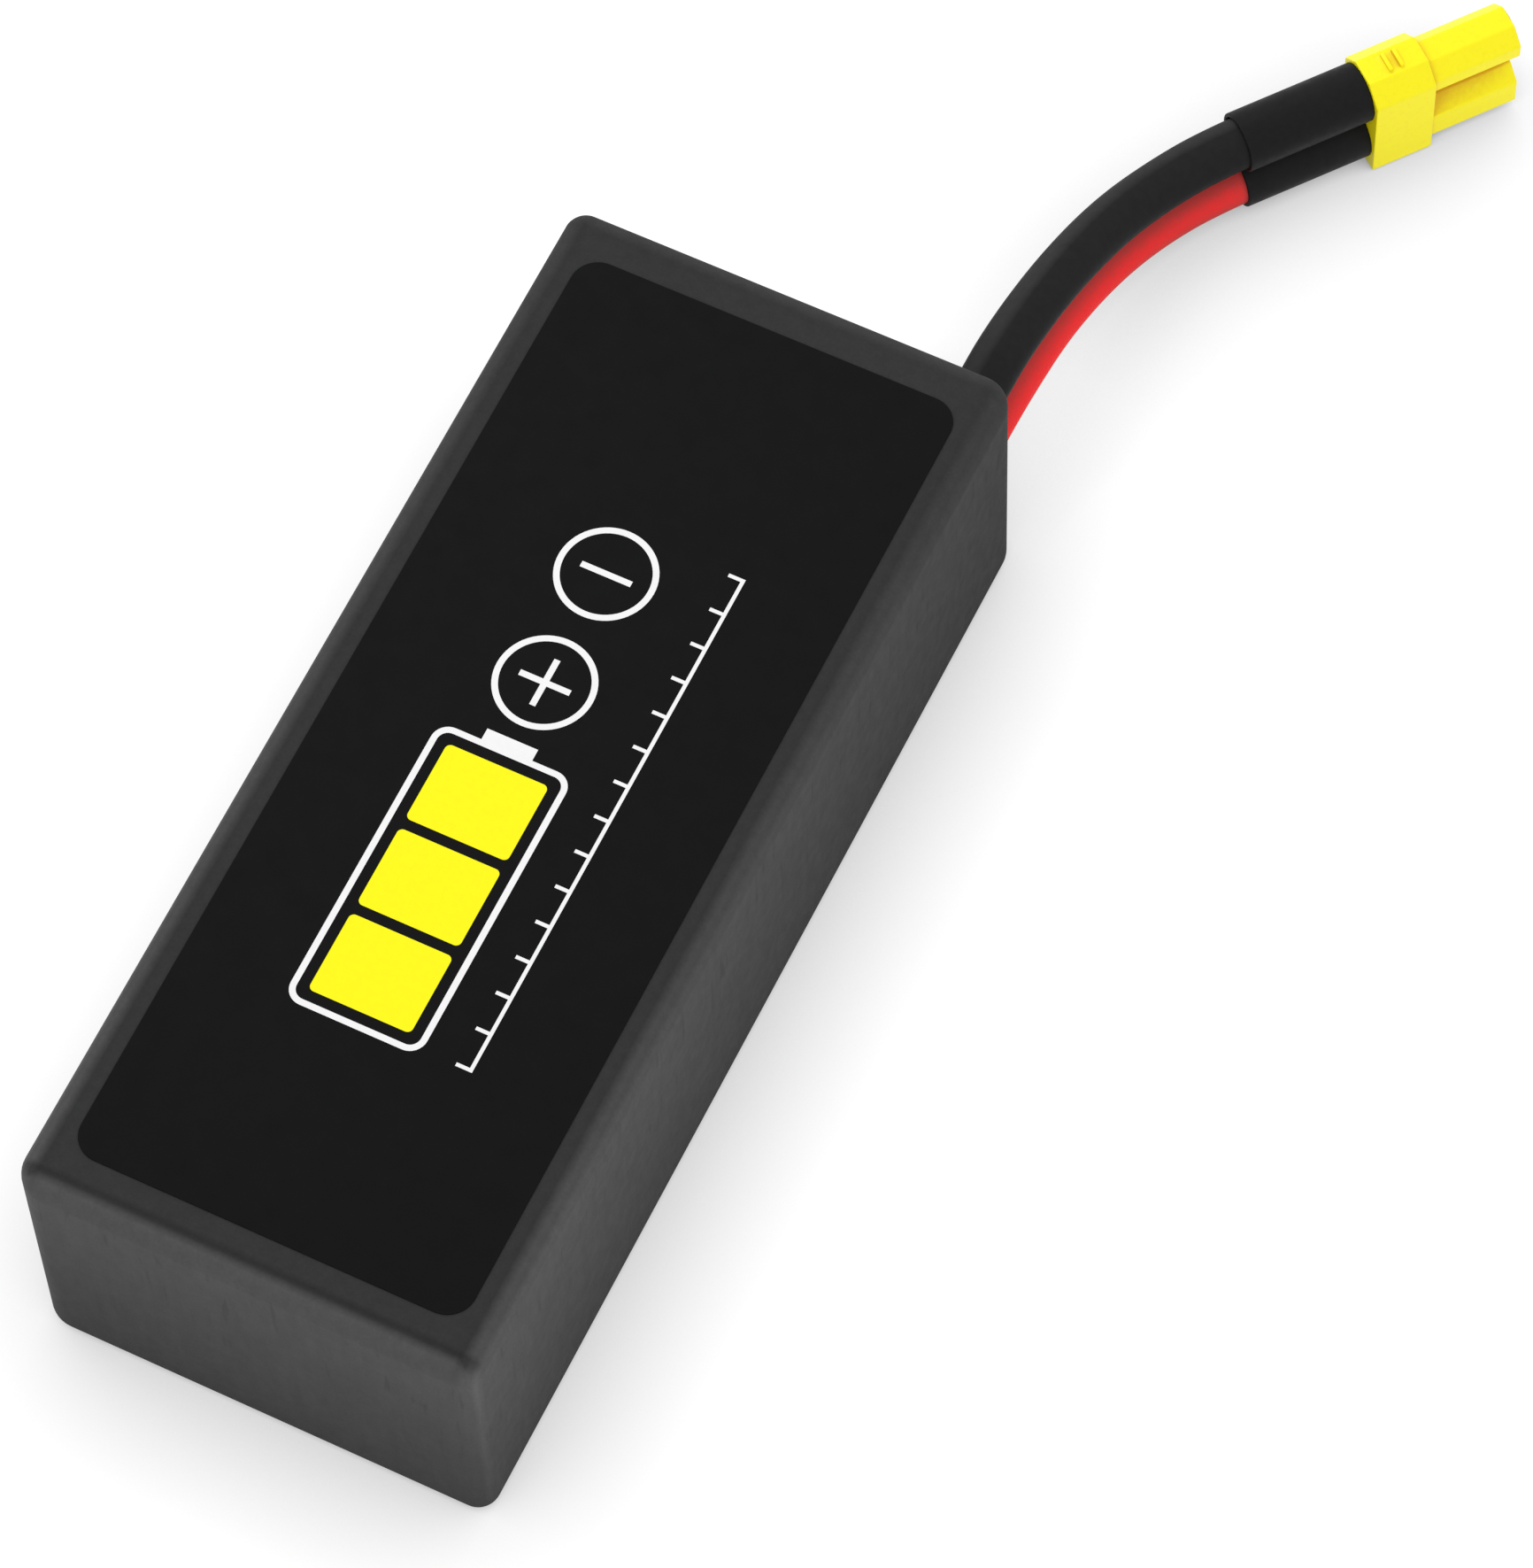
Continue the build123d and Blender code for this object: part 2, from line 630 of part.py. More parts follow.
def sleeve(side):
    to_collar = (Align.CENTER, Align.CENTER, Align.MAX)
    tube = Cylinder(sleeve_radius + SLEEVE_WALL, SLEEVE_LENGTH, align=to_collar)
    tube -= Cylinder(sleeve_radius, SLEEVE_LENGTH, align=to_collar)
    return connector_plane() * contact_offset(side) * tube


def write(name, solids):
    shape = Compound(children=solids) if isinstance(solids, list) else solids
    export_step(shape, f"parts/{name}.step")


os.makedirs("parts", exist_ok=True)

write("shrink_jacket", shrink_jacket())
write("label", label())
write("tray", tray())
write("tray_lid", tray_lid())
for cell_index, cell_name in enumerate(CELL_NAMES):
    write(f"cell_{cell_name}", pouch_cell(cell_index))
write("base_pad", stack_pad(floor_z, stack_bottom))
write("cell_tape_lower", cell_tape(0))
write("cell_tape_upper", cell_tape(1))
write("top_pad", stack_pad(stack_top, ceiling_z))
write("front_pad", front_pad())
write("aluminium_tabs", aluminium_tabs())
write("nickel_tabs", nickel_tabs())
write("tab_seals", tab_seals())
write("tap_strips", tap_strips())
write("tap_solder", tap_solder())
write("insulation_sheet", insulation_sheet())
write("protection_board", protection_board())
write("mosfets", board_parts(MOSFET_SIZE, board_left, MOSFET_FROM_EDGE, MOSFET_GRID, MOSFET_PITCH))
write("filter_capacitors", board_parts(CAPACITOR_SIZE, board_left, CAPACITORS_FROM_EDGE,
                                       CAPACITOR_GRID, CAPACITOR_PITCH))
write("protection_chip", board_parts(CHIP_SIZE, lead_x, CHIP_FROM_LEADS))
write("sense_resistors", board_parts(SENSE_SIZE, lead_x, SENSE_FROM_LEADS, SENSE_GRID, SENSE_PITCH))
write("filter_resistors", board_parts(RESISTOR_SIZE, lead_x, RESISTORS_FROM_LEADS,
                                      RESISTOR_GRID, RESISTOR_PITCH))
write("board_conductors", board_conductors())
write("lead_solder", lead_solder())
write("lead_grommet", lead_grommet())
write("negative_lead", lead("negative_lead", 1, NEGATIVE_ROUTE))
write("positive_lead", lead("positive_lead", -1, POSITIVE_ROUTE))
for polarity, polarity_side in (("negative", 1), ("positive", -1)):
    write(f"{polarity}_sleeve", sleeve(polarity_side))
    write(f"{polarity}_contact", contact(polarity_side))
write("cup_conductors", [cup_conductor(1), cup_conductor(-1)])
write("connector_housing", connector_housing())

print("pack", round(pack_width, 2), round(pack_length, 2), round(pack_height, 2))
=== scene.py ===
import json
import math

import bmesh
import bpy
from bpy.props import FloatProperty, FloatVectorProperty, IntProperty, PointerProperty
from mathutils import Matrix, Vector


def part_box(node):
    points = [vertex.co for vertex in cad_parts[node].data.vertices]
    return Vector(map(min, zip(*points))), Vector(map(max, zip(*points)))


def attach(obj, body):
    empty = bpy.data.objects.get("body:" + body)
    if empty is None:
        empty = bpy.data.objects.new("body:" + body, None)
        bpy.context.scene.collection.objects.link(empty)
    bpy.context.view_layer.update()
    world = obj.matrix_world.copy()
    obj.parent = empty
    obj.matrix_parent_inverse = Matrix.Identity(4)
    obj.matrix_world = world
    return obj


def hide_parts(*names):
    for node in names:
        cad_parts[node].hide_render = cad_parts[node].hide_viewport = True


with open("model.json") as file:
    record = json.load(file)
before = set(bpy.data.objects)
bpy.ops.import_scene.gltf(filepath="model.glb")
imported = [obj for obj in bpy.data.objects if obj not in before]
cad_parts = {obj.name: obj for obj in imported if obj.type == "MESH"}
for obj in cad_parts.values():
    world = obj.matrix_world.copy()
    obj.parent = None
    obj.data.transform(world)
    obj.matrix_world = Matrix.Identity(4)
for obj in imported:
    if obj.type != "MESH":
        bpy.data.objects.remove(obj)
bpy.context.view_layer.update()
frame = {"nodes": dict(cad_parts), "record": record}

bl_info = {
    "name": "Lipo pack dresser",
    "version": (1, 0, 0),
    "blender": (4, 5, 0),
    "location": "View3D > Sidebar > Lipo pack",
    "description": "Dresses the frame of a three-cell lipo pack with its film, label, leads and plug",
    "category": "Object",
}

film_low, film_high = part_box("shrink_jacket")
label_low, label_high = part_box("label")
grommet_low, grommet_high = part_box("lead_grommet")
mounts = {mount["name"]: mount for mount in frame["record"]["mounts"]}

# The connector's frame: local X is up, local Z points out of the sockets. It stands on the
# middle of the collar's rear face, a fixed distance behind the middle of the two sockets.
SOCKET_MIDDLE_FROM_COLLAR = 0.0075
negative_socket = Vector(mounts["negative_socket"]["pos_m"])
positive_socket = Vector(mounts["positive_socket"]["pos_m"])
contact_pitch = (negative_socket - positive_socket).length
mating_axis = Vector(mounts["negative_socket"]["axis"]).normalized()
collar_rear = (negative_socket + positive_socket) / 2 - mating_axis * SOCKET_MIDDLE_FROM_COLLAR
up = Vector((0, 0, 1))
across = mating_axis.cross(up)
connector_frame = Matrix.Translation(collar_rear) @ Matrix((up, across, mating_axis)).transposed().to_4x4()

# Each lead's route, from the middle of the two exits on the pack's rear face
LEAD_EXIT = Vector((0.0128, 0.0412, 0.0113))
NEGATIVE_ROUTE = (
    (0.0, -0.00545, 0.0031),
    (0.0, 0.003, 0.0031),
    (0.0, 0.0076, 0.00265),
    (0.00033, 0.01435, 0.0009),
    (0.00115, 0.02121, -0.0015),
    (0.00271, 0.0266, -0.0032),
    (0.005266, 0.031657, -0.004025),
    (0.009337, 0.036775, -0.004025),
)
POSITIVE_ROUTE = (
    (0.0, -0.00545, -0.0031),
    (0.0, 0.003, -0.0031),
    (-0.00002, 0.0075, -0.00355),
    (-0.00001, 0.01414, -0.0051),
    (0.00076, 0.02108, -0.0071),
    (0.00242, 0.02667, -0.0084),
    (0.005266, 0.031657, -0.008775),
    (0.009337, 0.036775, -0.008775),
)


def place_prop(name, description, default, **limits):
    return FloatProperty(name=name, description=description, default=default, unit="LENGTH",
                         precision=5, **limits)


def length_prop(name, description, default):
    return place_prop(name, description, default, min=0.0)


def level_prop(name, description, default):
    return FloatProperty(name=name, description=description, default=default, min=0.0)


def angle_prop(name, description, degrees):
    return FloatProperty(name=name, description=description, default=math.radians(degrees), subtype="ANGLE")


def point_prop(name, description, default):
    return FloatVectorProperty(name=name, description=description, default=default, size=3,
                               subtype="TRANSLATION")


def colour_prop(name, description, default):
    return FloatVectorProperty(name=name, description=description, default=default, size=3,
                               min=0.0, max=1.0, subtype="COLOR")


class FilmSettings(bpy.types.PropertyGroup):
    """Sizes and colour of the shrink film round the pack."""

    corner_radius: length_prop("Corner radius", "Radius of the front left and rear right corners", 0.0023)
    tight_corner_radius: length_prop("Tight corner radius", "Radius of the other two corners", 0.0016)
    edge_radius: length_prop("Edge radius", "Radius round the top", 0.00145)
    foot_radius: length_prop("Foot radius", "Radius round the underside", 0.0012)
    thickness: length_prop("Thickness", "Thickness of the film", 0.0004)
    lip: length_prop("Lip", "Width of the fold round the rear opening", 0.003)
    opening_radius: length_prop("Opening radius", "Radius in the corners of the rear opening", 0.0016)
    notch_clearance: length_prop("Notch clearance", "Gap from the grommet to the cut film", 0.0003)
    colour: colour_prop("Colour", "Colour of the film", (0.0355, 0.0355, 0.0362))


class LabelSettings(bpy.types.PropertyGroup):
    """Sizes and colours of the label and its plain print."""

    corner_radius: length_prop("Corner radius", "Radius of the label's corners", 0.002)
    print_height: length_prop("Print height", "Height of the printed layer", 0.00002)
    middle_x: place_prop("Middle line", "Where the gauge and the signs stand across the label", -0.0018)
    gauge_y: place_prop("Gauge place", "Where the gauge's middle stands along the label", -0.0105)
    bar_length: length_prop("Bar length", "Length of one bar of the gauge", 0.0062)
    bar_width: length_prop("Bar width", "Width of the bars", 0.0076)
    bar_gap: length_prop("Bar gap", "Gap between the bars and round them", 0.0008)
    line_width: length_prop("Line width", "Width of the printed lines", 0.00045)
    fine_line: length_prop("Fine line", "Width of the scale's lines", 0.00027)
    ring_radius: length_prop("Ring radius", "Radius of the rings round the signs", 0.0036)
    ring_pitch: length_prop("Ring pitch", "Distance between the two rings", 0.0092)
    sign_size: length_prop("Sign size", "Length of the strokes of the signs", 0.0038)
    scale_x: place_prop("Scale place", "Where the fine scale stands across the label", 0.0068)
    tick_length: length_prop("Tick length", "Length of the scale's ticks", 0.0011)
    tick_count: IntProperty(name="Ticks", description="Number of ticks on the scale", default=15, min=2)
    colour: colour_prop("Colour", "Colour of the label", (0.0028, 0.0028, 0.003))
    yellow: colour_prop("Yellow", "Colour of the printed bars", (0.95, 0.9, 0.007))
    white: colour_prop("White", "Colour of the printed lines", (0.87, 0.87, 0.87))


class LeadSettings(bpy.types.PropertyGroup):
    """Sizes and colours of the two leads and their sleeves."""

    diameter: length_prop("Diameter", "Outside diameter of a lead", 0.0038)
    sleeve_diameter: length_prop("Sleeve diameter", "Outside diameter of a sleeve", 0.00452)
    sleeve_length: length_prop("Sleeve length", "Length of a sleeve", 0.0099)
    sleeve_wall: length_prop("Sleeve wall", "Thickness of a sleeve", 0.0003)
    black: colour_prop("Black", "Colour of the black lead", (0.0195, 0.0195, 0.0202))
    red: colour_prop("Red", "Colour of the red lead", (0.92, 0.034, 0.036))
    # Painted shade: the red that the lead is painted where something close by shelters it.
    shaded_red: colour_prop("Shaded red", "Colour of the red lead where it is sheltered", (0.55, 0.056, 0.052))
    sleeve_colour: colour_prop("Sleeve colour", "Colour of the sleeves", (0.0115, 0.0115, 0.0118))


class GrommetSettings(bpy.types.PropertyGroup):
    """Sizes and colour of the rubber boot in the rear wall."""

    boot: length_prop("Boot", "How far the boot stands out of the rear wall", 0.002)
    flange: length_prop("Flange", "Thickness of the flanges outside and inside the wall", 0.0006)
    overlap: length_prop("Overlap", "How far the flanges reach over the wall", 0.0008)
    corner_radius: length_prop("Corner radius", "Radius of the boot's corners", 0.0015)
    end_rounding: length_prop("End rounding", "Radius round the boot's end", 0.0006)
    lug_width: length_prop("Lug width", "Width of the inner lugs", 0.003)
    hole_diameter: length_prop("Hole diameter", "Diameter of the two holes", 0.0039)
    colour: colour_prop("Colour", "Colour of the rubber", (0.016, 0.016, 0.017))


class ConnectorSettings(bpy.types.PropertyGroup):
    """Sizes and colour of the yellow housing."""

    collar_height: length_prop("Collar height", "Height of the collar", 0.0095)
    collar_thickness: length_prop("Collar thickness", "Thickness of the collar", 0.0051)
    collar_length: length_prop("Collar length", "Length of the collar along its axis", 0.0048)
    collar_chamfer: length_prop("Collar chamfer", "Chamfer of the collar's two upper edges", 0.00145)
    prong_length: length_prop("Prong length", "Length of a prong", 0.0071)
    prong_height: length_prop("Prong height", "Height of a prong", 0.00355)
    prong_thickness: length_prop("Prong thickness", "Thickness of a prong", 0.00415)
    prong_chamfer: length_prop("Prong chamfer", "Chamfer of a prong's edges", 0.00115)
    bore_diameter: length_prop("Bore diameter", "Diameter of the bore round a contact", 0.0027)
    mouth_chamfer: length_prop("Mouth chamfer", "Chamfer of a bore's mouth", 0.00025)
    grip_pitch: length_prop("Grip pitch", "Distance between the two grip ribs", 0.0009)
    grip_width: length_prop("Grip width", "Width of a grip rib", 0.00035)
    grip_height: length_prop("Grip height", "Height of a grip rib", 0.0003)
    grip_end: length_prop("Grip end", "From the end of a grip rib to the top's edge", 0.0003)
    edge_softening: length_prop("Edge softening", "Bevel of the moulded edges", 0.00012)
    colour: colour_prop("Colour", "Colour of the nylon", (1.0, 0.895, 0.008))
    # Painted shade: the colour the nylon is painted where the housing shelters itself.
    painted_shade_colour: colour_prop("Shade colour", "Colour of the nylon between the prongs", (0.76, 0.47, 0.012))


class StageSettings(bpy.types.PropertyGroup):
    """Camera and light."""

    lens: FloatProperty(name="Lens", description="Focal length", default=184.59, min=1.0,
                        subtype="DISTANCE_CAMERA")
    azimuth: angle_prop("Azimuth", "Turn of the camera round the pack", 28.4828)
    elevation: angle_prop("Elevation", "Height of the camera's line of sight", 62.5416)
    roll: angle_prop("Roll", "Turn of the camera about its own axis", -2.7257)
    camera_place: point_prop("Camera place", "Where the camera stands", (0.13265, -0.21085, 0.49746))
    floor_size: length_prop("Floor size", "Side of the square floor", 3.0)
    floor_grey: level_prop("Floor grey", "How pale the floor is to the light", 0.95)
    floor_brightness: level_prop("Floor brightness", "Open floor as the camera sees it", 1.1)
    shadow_reach: length_prop("Shadow reach", "How far off a piece still shades the floor", 0.014)
    shadow_power: level_prop("Shadow power", "More makes the shade on the floor deeper", 0.65)
    horizon_strength: level_prop("Horizon strength", "Light from low down, all round", 1.0)
    zenith_strength: level_prop("Zenith strength", "Light from straight above", 0.95)
    lamp_power: level_prop("Lamp power", "Power of the soft lamp behind", 0.45)
    lamp_size: length_prop("Lamp size", "Diameter of the soft lamp behind", 0.15)
    lamp_place: point_prop("Lamp place", "Where the soft lamp stands", (-0.25, 0.25, 0.4))


# Helpers for modelling

# Two places closer than this count as one
SAME_PLACE = 1e-6
# An edge that turns by more than this is a crisp one
CRISP_EDGE = math.radians(35)
ALONG_Y = Vector((0, 1, 0))


def use_only(piece):
    bpy.ops.object.select_all(action="DESELECT")
    piece.select_set(True)
    bpy.context.view_layer.objects.active = piece


def settle(piece):
    """Puts the place, turn and scale of a piece into its mesh."""
    use_only(piece)
    bpy.ops.object.transform_apply(location=True, rotation=True, scale=True)


def name_new(name, scale=(1, 1, 1)):
    """Names and settles the piece that was just added."""
    piece = bpy.context.active_object
    piece.name = piece.data.name = name
    piece.scale = scale
    settle(piece)
    return piece


def add_block(name, low, high):
    """A block between two corners."""
    bpy.ops.mesh.primitive_cube_add(size=1, location=(Vector(low) + Vector(high)) / 2)
    return name_new(name, Vector(high) - Vector(low))


def add_rod(name, radius, low, high, middle=(0, 0), sides=64):
    """An upright rod between two heights."""
    bpy.ops.mesh.primitive_cylinder_add(vertices=sides, radius=radius, depth=high - low,
                                        location=(*middle, (low + high) / 2))
    return name_new(name)


def edge_runs_along(edge, direction):
    run = (edge.verts[1].co - edge.verts[0].co).normalized()
    nearly_parallel = 0.99
    return abs(run.dot(direction)) > nearly_parallel


def edge_middle(edge):
    return (edge.verts[0].co + edge.verts[1].co) / 2


def bevel_edges(piece, test, width, segments=1):
    """Bevels just the edges that pass the test."""
    use_only(piece)
    bpy.ops.object.mode_set(mode="EDIT")
    bpy.ops.mesh.select_mode(type="EDGE")
    bpy.ops.mesh.select_all(action="DESELECT")
    mesh = bmesh.from_edit_mesh(piece.data)
    for edge in mesh.edges:
        edge.select_set(test(edge))
    bmesh.update_edit_mesh(piece.data)
    bpy.ops.mesh.bevel(offset=width, segments=segments, affect="EDGES", clamp_overlap=True)
    bpy.ops.object.mode_set(mode="OBJECT")


def apply_modifiers(piece):
    use_only(piece)
    for modifier in list(piece.modifiers):
        bpy.ops.object.modifier_apply(modifier=modifier.name)


def combine(piece, tools, operation):
    """Joins or cuts a piece with other solids, which are used up."""
    for tool in tools:
        modifier = piece.modifiers.new("Combine", "BOOLEAN")
        modifier.operation = operation
        modifier.solver = "EXACT"
        modifier.object = tool
        apply_modifiers(piece)
        bpy.data.objects.remove(tool)


def soften(piece, width, segments, angle=CRISP_EDGE):
    """Rounds the sharp edges a little and keeps the flat faces flat."""
    bevel = piece.modifiers.new("Soft edges", "BEVEL")
    bevel.width = width
    bevel.segments = segments
    bevel.limit_method = "ANGLE"
    bevel.angle_limit = angle
    bevel.miter_outer = "MITER_ARC"
    apply_modifiers(piece)


def smooth(piece):
    """Shades a piece smooth, and keeps its edges crisp and its flat faces flat."""
    use_only(piece)
    bpy.ops.object.shade_smooth_by_angle(angle=CRISP_EDGE)
    weighted = piece.modifiers.new("Flat faces", "WEIGHTED_NORMAL")
    weighted.keep_sharp = True
    apply_modifiers(piece)


def finish_piece(piece, material, slot, *nodes):
    """Gives a piece its finish, lets it ride and hides the nodes it stands for."""
    piece.data.materials.clear()
    piece.data.materials.append(material)
    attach(piece, "root")
    if nodes:
        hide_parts(*nodes)


# Materials

# Nearly all of what a noise node gives lies between these two
NOISE_LOW, NOISE_HIGH = 0.3, 0.7


def fill(node, inputs):
    """Fills a node's sockets: a number or colour is set, and another node's socket is linked."""
    for key, value in inputs.items():
        if isinstance(value, bpy.types.NodeSocket):
            node.id_data.links.new(value, node.inputs[key])
        else:
            node.inputs[key].default_value = value


def add_node(tree, kind, inputs=None, **choices):
    """Adds a node, makes its menu choices and fills its sockets."""
    node = tree.nodes.new(kind)
    for name, choice in choices.items():
        setattr(node, name, choice)
    fill(node, inputs or {})
    return node


def add_math(tree, operation, first, second):
    return add_node(tree, "ShaderNodeMath", {0: first, 1: second}, operation=operation).outputs["Value"]


class Finish:
    """A principled material and short calls that add its pattern nodes."""

    def __init__(self, name, colour, roughness, metallic=0.0, specular=0.5):
        self.colour = colour
        self.material = bpy.data.materials.new(name)
        self.material.use_nodes = True
        self.tree = self.material.node_tree
        self.shader = self.tree.nodes["Principled BSDF"]
        fill(self.shader, {"Base Color": (*colour, 1.0), "Roughness": roughness, "Metallic": metallic,
                           "Specular IOR Level": specular})
        self.place = add_node(self.tree, "ShaderNodeTexCoord").outputs["Object"]

    def noise(self, scale, detail=2.0, stretch=(1, 1, 1)):
        mapping = add_node(self.tree, "ShaderNodeMapping", {"Vector": self.place, "Scale": stretch})
        texture = add_node(self.tree, "ShaderNodeTexNoise",
                           {"Vector": mapping.outputs["Vector"], "Scale": scale, "Detail": detail})
        return texture.outputs["Fac"]

    def remap(self, value, low, high, new_low=0.0, new_high=1.0):
        ends = {"From Min": low, "From Max": high, "To Min": new_low, "To Max": new_high}
        return add_node(self.tree, "ShaderNodeMapRange", {"Value": value, **ends}).outputs["Result"]

    def grain(self, low, high, scale, detail=2.0, stretch=(1, 1, 1)):
        """Noise that runs from one value to another."""
        return self.remap(self.noise(scale, detail, stretch), NOISE_LOW, NOISE_HIGH, low, high)

    def peak(self, value, middle, half_width, height=1.0):
        """Full height at the middle, falling to 0 at half a width to each side."""
        distance = self.size(self.math("SUBTRACT", value, middle))
        return self.remap(distance, 0.0, half_width, height, 0.0)

    def math(self, operation, first, *others):
        """One operation, or a chain of it, on sockets and numbers."""
        for second in others:
            first = add_math(self.tree, operation, first, second)
        return first

    def size(self, value):
        """The value without its sign."""
        return self.math("ABSOLUTE", value, 0.0)

    def coordinates(self):
        return add_node(self.tree, "ShaderNodeSeparateXYZ", {"Vector": self.place}).outputs.values()

    def facing(self, direction):
        """How squarely the surface faces a direction, from -1 to 1."""
        normal = add_node(self.tree, "ShaderNodeTexCoord").outputs["Normal"]
        return add_node(self.tree, "ShaderNodeVectorMath", {0: normal, 1: direction},
                        operation="DOT_PRODUCT").outputs["Value"]

    def open_share(self, reach, own_only=False):
        """1 where the surface lies open, less where something within the reach shelters it."""
        return add_node(self.tree, "ShaderNodeAmbientOcclusion", {"Distance": reach},
                        only_local=own_only).outputs["AO"]

    def tint(self, value):
        """The finish's own colour times a number from the pattern."""
        tinted = add_node(self.tree, "ShaderNodeVectorMath", {0: self.colour, "Scale": value},
                          operation="SCALE")
        fill(self.shader, {"Base Color": tinted.outputs["Vector"]})

    def colour_between(self, value, first, second):
        mix = add_node(self.tree, "ShaderNodeMix",
                       {"A": (*first, 1.0), "B": (*second, 1.0), "Factor": value}, data_type="RGBA")
        fill(self.shader, {"Base Color": mix.outputs["Result"]})

    def roughness_from(self, value):
        fill(self.shader, {"Roughness": value})

    def bump(self, height, distance, strength=1.0):
        bump = add_node(self.tree, "ShaderNodeBump",
                        {"Distance": distance, "Strength": strength, "Height": height})
        fill(self.shader, {"Normal": bump.outputs["Normal"]})


def shade(colour, share):
    return tuple(min(1.0, channel * share) for channel in colour)


def film_finish(settings):
    """Matte film: fine grain and faint streaks, with painted shade in creases down the sides and in a line
    inside the rim, and painted light that makes the rim and walls paler.
    """
    finish = Finish("shrink_film_matte", settings.colour, roughness=0.6, specular=0.02)
    grain = finish.grain(0.95, 1.05, scale=4200.0)
    streaks = finish.grain(0.95, 1.05, scale=1300.0, detail=3.0, stretch=(1, 1, 0.18))
    clouds = finish.grain(0.97, 1.03, scale=110.0, detail=3.0)
    # Painted shade and painted light: creases and a line inside the rim are painted darker, and the rim and
    # walls are painted paler.
    finish.tint(finish.math("MULTIPLY", grain, streaks, clouds, painted_crease_shade(finish),
                            painted_rim_shade(finish, settings), painted_wall_light(finish, settings)))
    finish.roughness_from(finish.grain(0.54, 0.64, scale=900.0, detail=3.0))
    finish.bump(finish.noise(6000.0), distance=0.00002, strength=0.5)
    return finish.material


def painted_crease_shade(finish):
    """Painted shade of fine creases down the walls, most at four fifths of the height and none on the rim.
    """
    z = finish.coordinates()[2]
    depth = finish.remap(finish.noise(1900.0, 1.0, stretch=(1, 1, 0.11)), 0.64, 0.72, new_high=0.17)
    by_height = finish.peak(z, middle=0.8 * film_high.z, half_width=0.6 * film_high.z)
    below_rim = finish.remap(z, film_high.z - 0.0016, film_high.z - 0.0008, 1.0, 0.0)
    return finish.math("SUBTRACT", 1.0, finish.math("MULTIPLY", depth, by_height, below_rim))


def painted_rim_shade(finish, settings):
    """Painted shade: a darker line just inside the rim, strong at the front end, faint elsewhere, with a
    dark spot at the corners.
    """
    x, y, z = finish.coordinates()
    to_side, to_end = finish.size(x), finish.size(y)
    near_top = finish.remap(z, film_high.z - 0.0009, film_high.z - 0.0003)
    front_share = finish.remap(y, film_low.y, film_high.y, 1.0, 0.15)
    end_turn = film_high.y - settings.edge_radius
    side_turn = film_high.x - settings.edge_radius
    end_line = finish.peak(to_end, end_turn - 0.00025, half_width=0.00045, height=0.25)
    side_line = finish.peak(to_side, side_turn - 0.0001, half_width=0.0006, height=0.07)
    lines = finish.math("MAXIMUM", finish.math("MULTIPLY", end_line, front_share), side_line)
    spot = finish.math("MULTIPLY", front_share,
                       finish.peak(to_side, side_turn + 0.00045, half_width=0.0008, height=0.45),
                       finish.peak(to_end, end_turn + 0.0002, half_width=0.0008))
    drawn = finish.math("ADD", lines, spot)
    return finish.math("SUBTRACT", 1.0, finish.math("MULTIPLY", drawn, near_top))


def painted_wall_light(finish, settings):
    """Painted light: the film is painted paler over the rim and down the walls, most near the front end and
    near the top.
    """
    x, y, z = finish.coordinates()
    to_side, to_end = finish.size(x), finish.size(y)
    end_turn = film_high.y - settings.edge_radius
    side_turn = film_high.x - settings.edge_radius
    at_end = finish.remap(to_end, end_turn - 0.00005, end_turn + 0.00057, new_high=0.92)
    at_rim = finish.remap(to_side, side_turn - 0.0001, side_turn + 0.0006, new_high=0.8)
    below_rim = finish.remap(to_side, film_high.x - 0.00055, film_high.x - 0.00005, new_high=0.23)
    turning = finish.peak(to_side, film_high.x - 0.0002, half_width=0.0003, height=0.36)
    at_side = finish.math("ADD", at_rim, below_rim, turning)
    at_corner = finish.math("MULTIPLY", at_end, at_side, 0.4)
    wall = finish.math("ADD", finish.math("MAXIMUM", at_end, at_side), at_corner)
    from_front = finish.remap(y, film_low.y, film_high.y, 1.32, 0.3)
    from_bottom = finish.remap(z, film_low.z, film_high.z, 0.25, 1.05)
    return finish.math("ADD", 1.0, finish.math("MULTIPLY", wall, from_front, from_bottom))


def label_finish(colour):
    finish = Finish("label_black_matte", colour, roughness=0.55, specular=0.08)
    finish.tint(finish.grain(0.95, 1.05, scale=3000.0))
    finish.roughness_from(finish.grain(0.52, 0.58, scale=600.0))
    finish.bump(finish.noise(5000.0), distance=0.000006, strength=0.3)
    return finish.material


def ink_finish(name, colour):
    finish = Finish(name, colour, roughness=0.5, specular=0.1)
    finish.colour_between(finish.grain(0.0, 1.0, scale=2500.0, detail=3.0), shade(colour, 0.97), colour)
    return finish.material


def silicone_finish(name, colour):
    """Soft insulation with fine draw marks."""
    finish = Finish(name, colour, roughness=0.4, specular=0.01)
    finish.roughness_from(finish.grain(0.36, 0.46, scale=1500.0, detail=3.0))
    finish.bump(finish.noise(4500.0), distance=0.00002, strength=0.35)
    return finish


def silicone_bloom(finish, low, high):
    """Faint paler patches that fade out slowly."""
    return finish.remap(finish.noise(1400.0, 3.0), NOISE_LOW, NOISE_HIGH + 0.05, low, high)


def black_silicone_finish(colour):
    """Black insulation with a painted highlight: paler along its upper outer side."""
    finish = silicone_finish("silicone_black", colour)
    # Painted highlight: where the surface faces up and to the left, the colour is painted up to 1.9 times
    # paler.
    painted_highlight = finish.remap(finish.facing((-0.45, 0.2, 0.87)), 0.89, 0.99, 1.0, 1.9)
    finish.tint(finish.math("MULTIPLY", silicone_bloom(finish, 0.93, 1.08), painted_highlight))
    return finish.material


